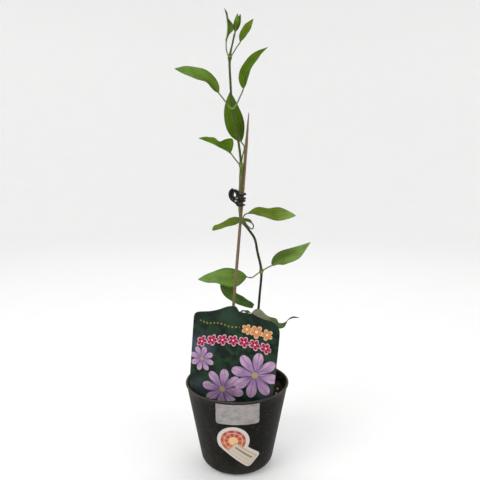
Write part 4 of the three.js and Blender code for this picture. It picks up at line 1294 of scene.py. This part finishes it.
def round_sticker_outline():
    """A disc with a tab to the lower right."""
    x, y, radius = ROUND_STICKER

    def tab_corner(across, start):
        """A rounded corner at the tab's end, round a point that lies across from its middle."""
        along, over = turned(TAB_REACH - TAB_CORNER, across, TAB_LEAN)
        return arc(x + along, y + over, TAB_CORNER, TAB_LEAN + start, TAB_LEAN + start + math.pi / 2)

    start = math.asin(TAB_UPPER_EDGE / radius)
    end = math.pi - math.asin(TAB_LOWER_EDGE / radius)
    disc = arc(x, y, radius, TAB_LEAN + start, TAB_LEAN + end, 70)
    low = tab_corner(TAB_LOWER_EDGE + TAB_CORNER, -math.pi / 2)
    return [*disc, *low, *tab_corner(TAB_UPPER_EDGE - TAB_CORNER, 0)]


def round_sticker_print():
    """A white border, a disc of warm rays, and a cream tab with a thin frame."""
    finish = Finish("printed round sticker")
    across, height, _ = finish.place("print_place")
    x, y = across - ROUND_STICKER[0], height - ROUND_STICKER[1]
    along, over = turned(x, y, -TAB_LEAN)
    reach = distance(x, y)
    rays = (finish.maths("ARCTAN2", y, x) * 9).maths("COSINE").rise(-0.2, 0.3)
    warm = y.shades(-9, 9, (186, 92, 58), (172, 62, 74))
    warm = warm.coat(rays * 0.5, 220, 154, 96).coat(reach.rise(4.2, 3.8), 234, 192, 142)
    warm = warm.coat((reach - 7.6).line(0.6) * 0.7, 236, 212, 190)
    tone = finish.mix(reach.rise(10.6, 10.2), srgb(*STICKER_WHITE), warm)
    frame_edge = along.rise(2, 2.6) * along.rise(25.8, 25.4) * over.within(-10.9, 0.6, 0.4)
    tone = tone.coat(frame_edge, 196, 158, 130)
    cream = along.within(3.2, 25.2, 0.4) * over.within(-10.3, -0.4, 0.4)
    tone = tone.coat(cream, 206, 197, 180)
    lined = along.within(5, 23.4, 0.4)
    tone = tone.coat((over + 3.6).line(1.5) * lined * 0.8, 96, 62, 46)
    tone = tone.coat((over + 7.2).line(0.7) * lined * 0.5, 198, 120, 92)
    grime = finish.grain(finish.at(across, height), 2.4, 5, 0.7)
    tone = tone.coat(grime.rise(0.5, 0.8) * 0.2, 150, 142, 134)
    return finish.surface(tone, 0.44 + grime * 0.25, 0.2, grime, 0.15, 0.5)


def paper_sticker_outline():
    """A rectangle with its two lower corners rounded."""
    left, right, bottom, top, corner = PAPER_STICKER
    return [
        (right, top), (left, top),
        *arc(left + corner, bottom + corner, corner, math.pi, 1.5 * math.pi),
        *arc(right - corner, bottom + corner, corner, -math.pi / 2, 0),
    ]


def make_card_and_stickers():
    outline = rounded([*CARD_FOOT[::-1], *CARD_TOP[::-1]])
    shape, numbers, places = sheet_shape(outline, 1.1, card_place, CARD_THIN, 0.12)
    board = plain_paper("card back", (222, 222, 216), (206, 206, 200), 0.06)
    piece("printed_card", shape, [card_print(), board], ["picture_card"], numbers, places, 50)
    paper = plain_paper("sticker paper", (171, 166, 163), (150, 145, 144), 1)
    edge = plain_paper("round sticker edge", STICKER_WHITE, (198, 190, 184), 0.2)
    printed = round_sticker_print()
    for name, outline, finishes, slot, node in (
        ("blank_sticker", paper_sticker_outline(), [paper, paper], "paper", "paper_sticker"),
        ("tabbed_sticker", round_sticker_outline(), [printed, edge], "round_paper", "round_sticker"),
    ):
        shape, numbers, places = sheet_shape(outline, 0.9, on_wall, STICKER_THIN, 0.06)
        piece(name, shape, finishes, [node], numbers, places, 50)


# The part

make_pot()
make_soil()
piece("bamboo_cane", cane_shape(), [cane_finish()], ["cane"], crease=60)
piece("vine_stem", stem_shape(), [stem_finish()], ["stem"], crease=80)
piece("twisted_tie", tie_shape(), [tie_finish()], ["wire_tie"], crease=60)
make_leaves()
make_ridges()
make_card_and_stickers()


# Studio

FLOOR_SIDES = 96
FLOOR_FLAT = 1300
FLOOR_BEND = 700
# Name, place and size in metres, and power.
LIGHTS = (
    ("window light", (-0.9, -0.9, 1.1), 0.9, 8.8),
    ("room light", (1.0, -0.7, 0.8), 0.9, 2.9),
    ("top light", (0.1, 0.5, 1.4), 1.0, 5.2),
)
ROOM_LIGHT = 0.46
CAMERA_PLACE = (2.5, -450, 270)
CAMERA_DIP = 9
# The photograph is 480 pixels wide, and its lens is 543 of them long.
LENS_SHARE = 543 / 480


def floor_finish():
    finish = Finish("pale floor")
    patches = finish.grain(finish.at(*finish.spot()), 60, 3)
    return finish.shader({
        "Base Color": finish.mix(patches, (0.85, 0.85, 0.85, 1), (0.88, 0.88, 0.875, 1)),
        "Roughness": 0.9, "Emission Color": (1, 1, 1, 1), "Emission Strength": 0.127,
    })


def make_studio():
    """A pale floor that curves up all round, soft lights, and the photograph's camera."""
    rings = [(reach, 0) for reach in (100, 400, 800, FLOOR_FLAT)]
    for angle in np.linspace(0.1, math.pi / 2, 14):
        rings.append((FLOOR_FLAT + FLOOR_BEND * math.sin(angle), FLOOR_BEND * (1 - math.cos(angle))))
    rings += [(FLOOR_FLAT + FLOOR_BEND, height) for height in (1000, 1400, 1800, 2200)]
    angles = circle_angles(FLOOR_SIDES)
    vertices = [(0, 0, 0)]
    faces = []
    for reach, height in rings:
        vertices += [(reach * math.cos(a), reach * math.sin(a), height) for a in angles]
    for i in range(FLOOR_SIDES):
        ahead = (i + 1) % FLOOR_SIDES
        faces.append((0, 1 + i, 1 + ahead))
        for ring in range(len(rings) - 1):
            low = 1 + ring * FLOOR_SIDES
            faces.append((low + i, low + FLOOR_SIDES + i, low + FLOOR_SIDES + ahead, low + ahead))
    mesh = new_mesh("floor", vertices, faces)
    mesh.materials.append(floor_finish().material)
    mesh.shade_smooth()
    placed("floor", mesh)

    for name, place, size, power in LIGHTS:
        lamp = bpy.data.lights.new(name, "AREA")
        lamp.size = size
        lamp.energy = power
        held = placed(name, lamp)
        held.location = place
        held.rotation_mode = "QUATERNION"
        held.rotation_quaternion = (Vector(place) - Vector((0, 0, 0.2))).to_track_quat("Z", "Y")

    world = bpy.data.worlds.new("room")
    world.use_nodes = True
    air = world.node_tree.nodes["Background"].inputs
    air["Color"].default_value = (1, 1, 1, 1)
    air["Strength"].default_value = ROOM_LIGHT
    bpy.context.scene.world = world
    bpy.context.scene.view_settings.view_transform = "Standard"

    camera = bpy.data.cameras.new("camera")
    camera.sensor_width = 36
    camera.lens = camera.sensor_width * LENS_SHARE
    camera.clip_start = 0.01
    held = placed("camera", camera)
    held.location = [part * MM for part in CAMERA_PLACE]
    held.rotation_euler = (math.radians(90 - CAMERA_DIP), 0, 0)
    bpy.context.scene.camera = held


make_studio()
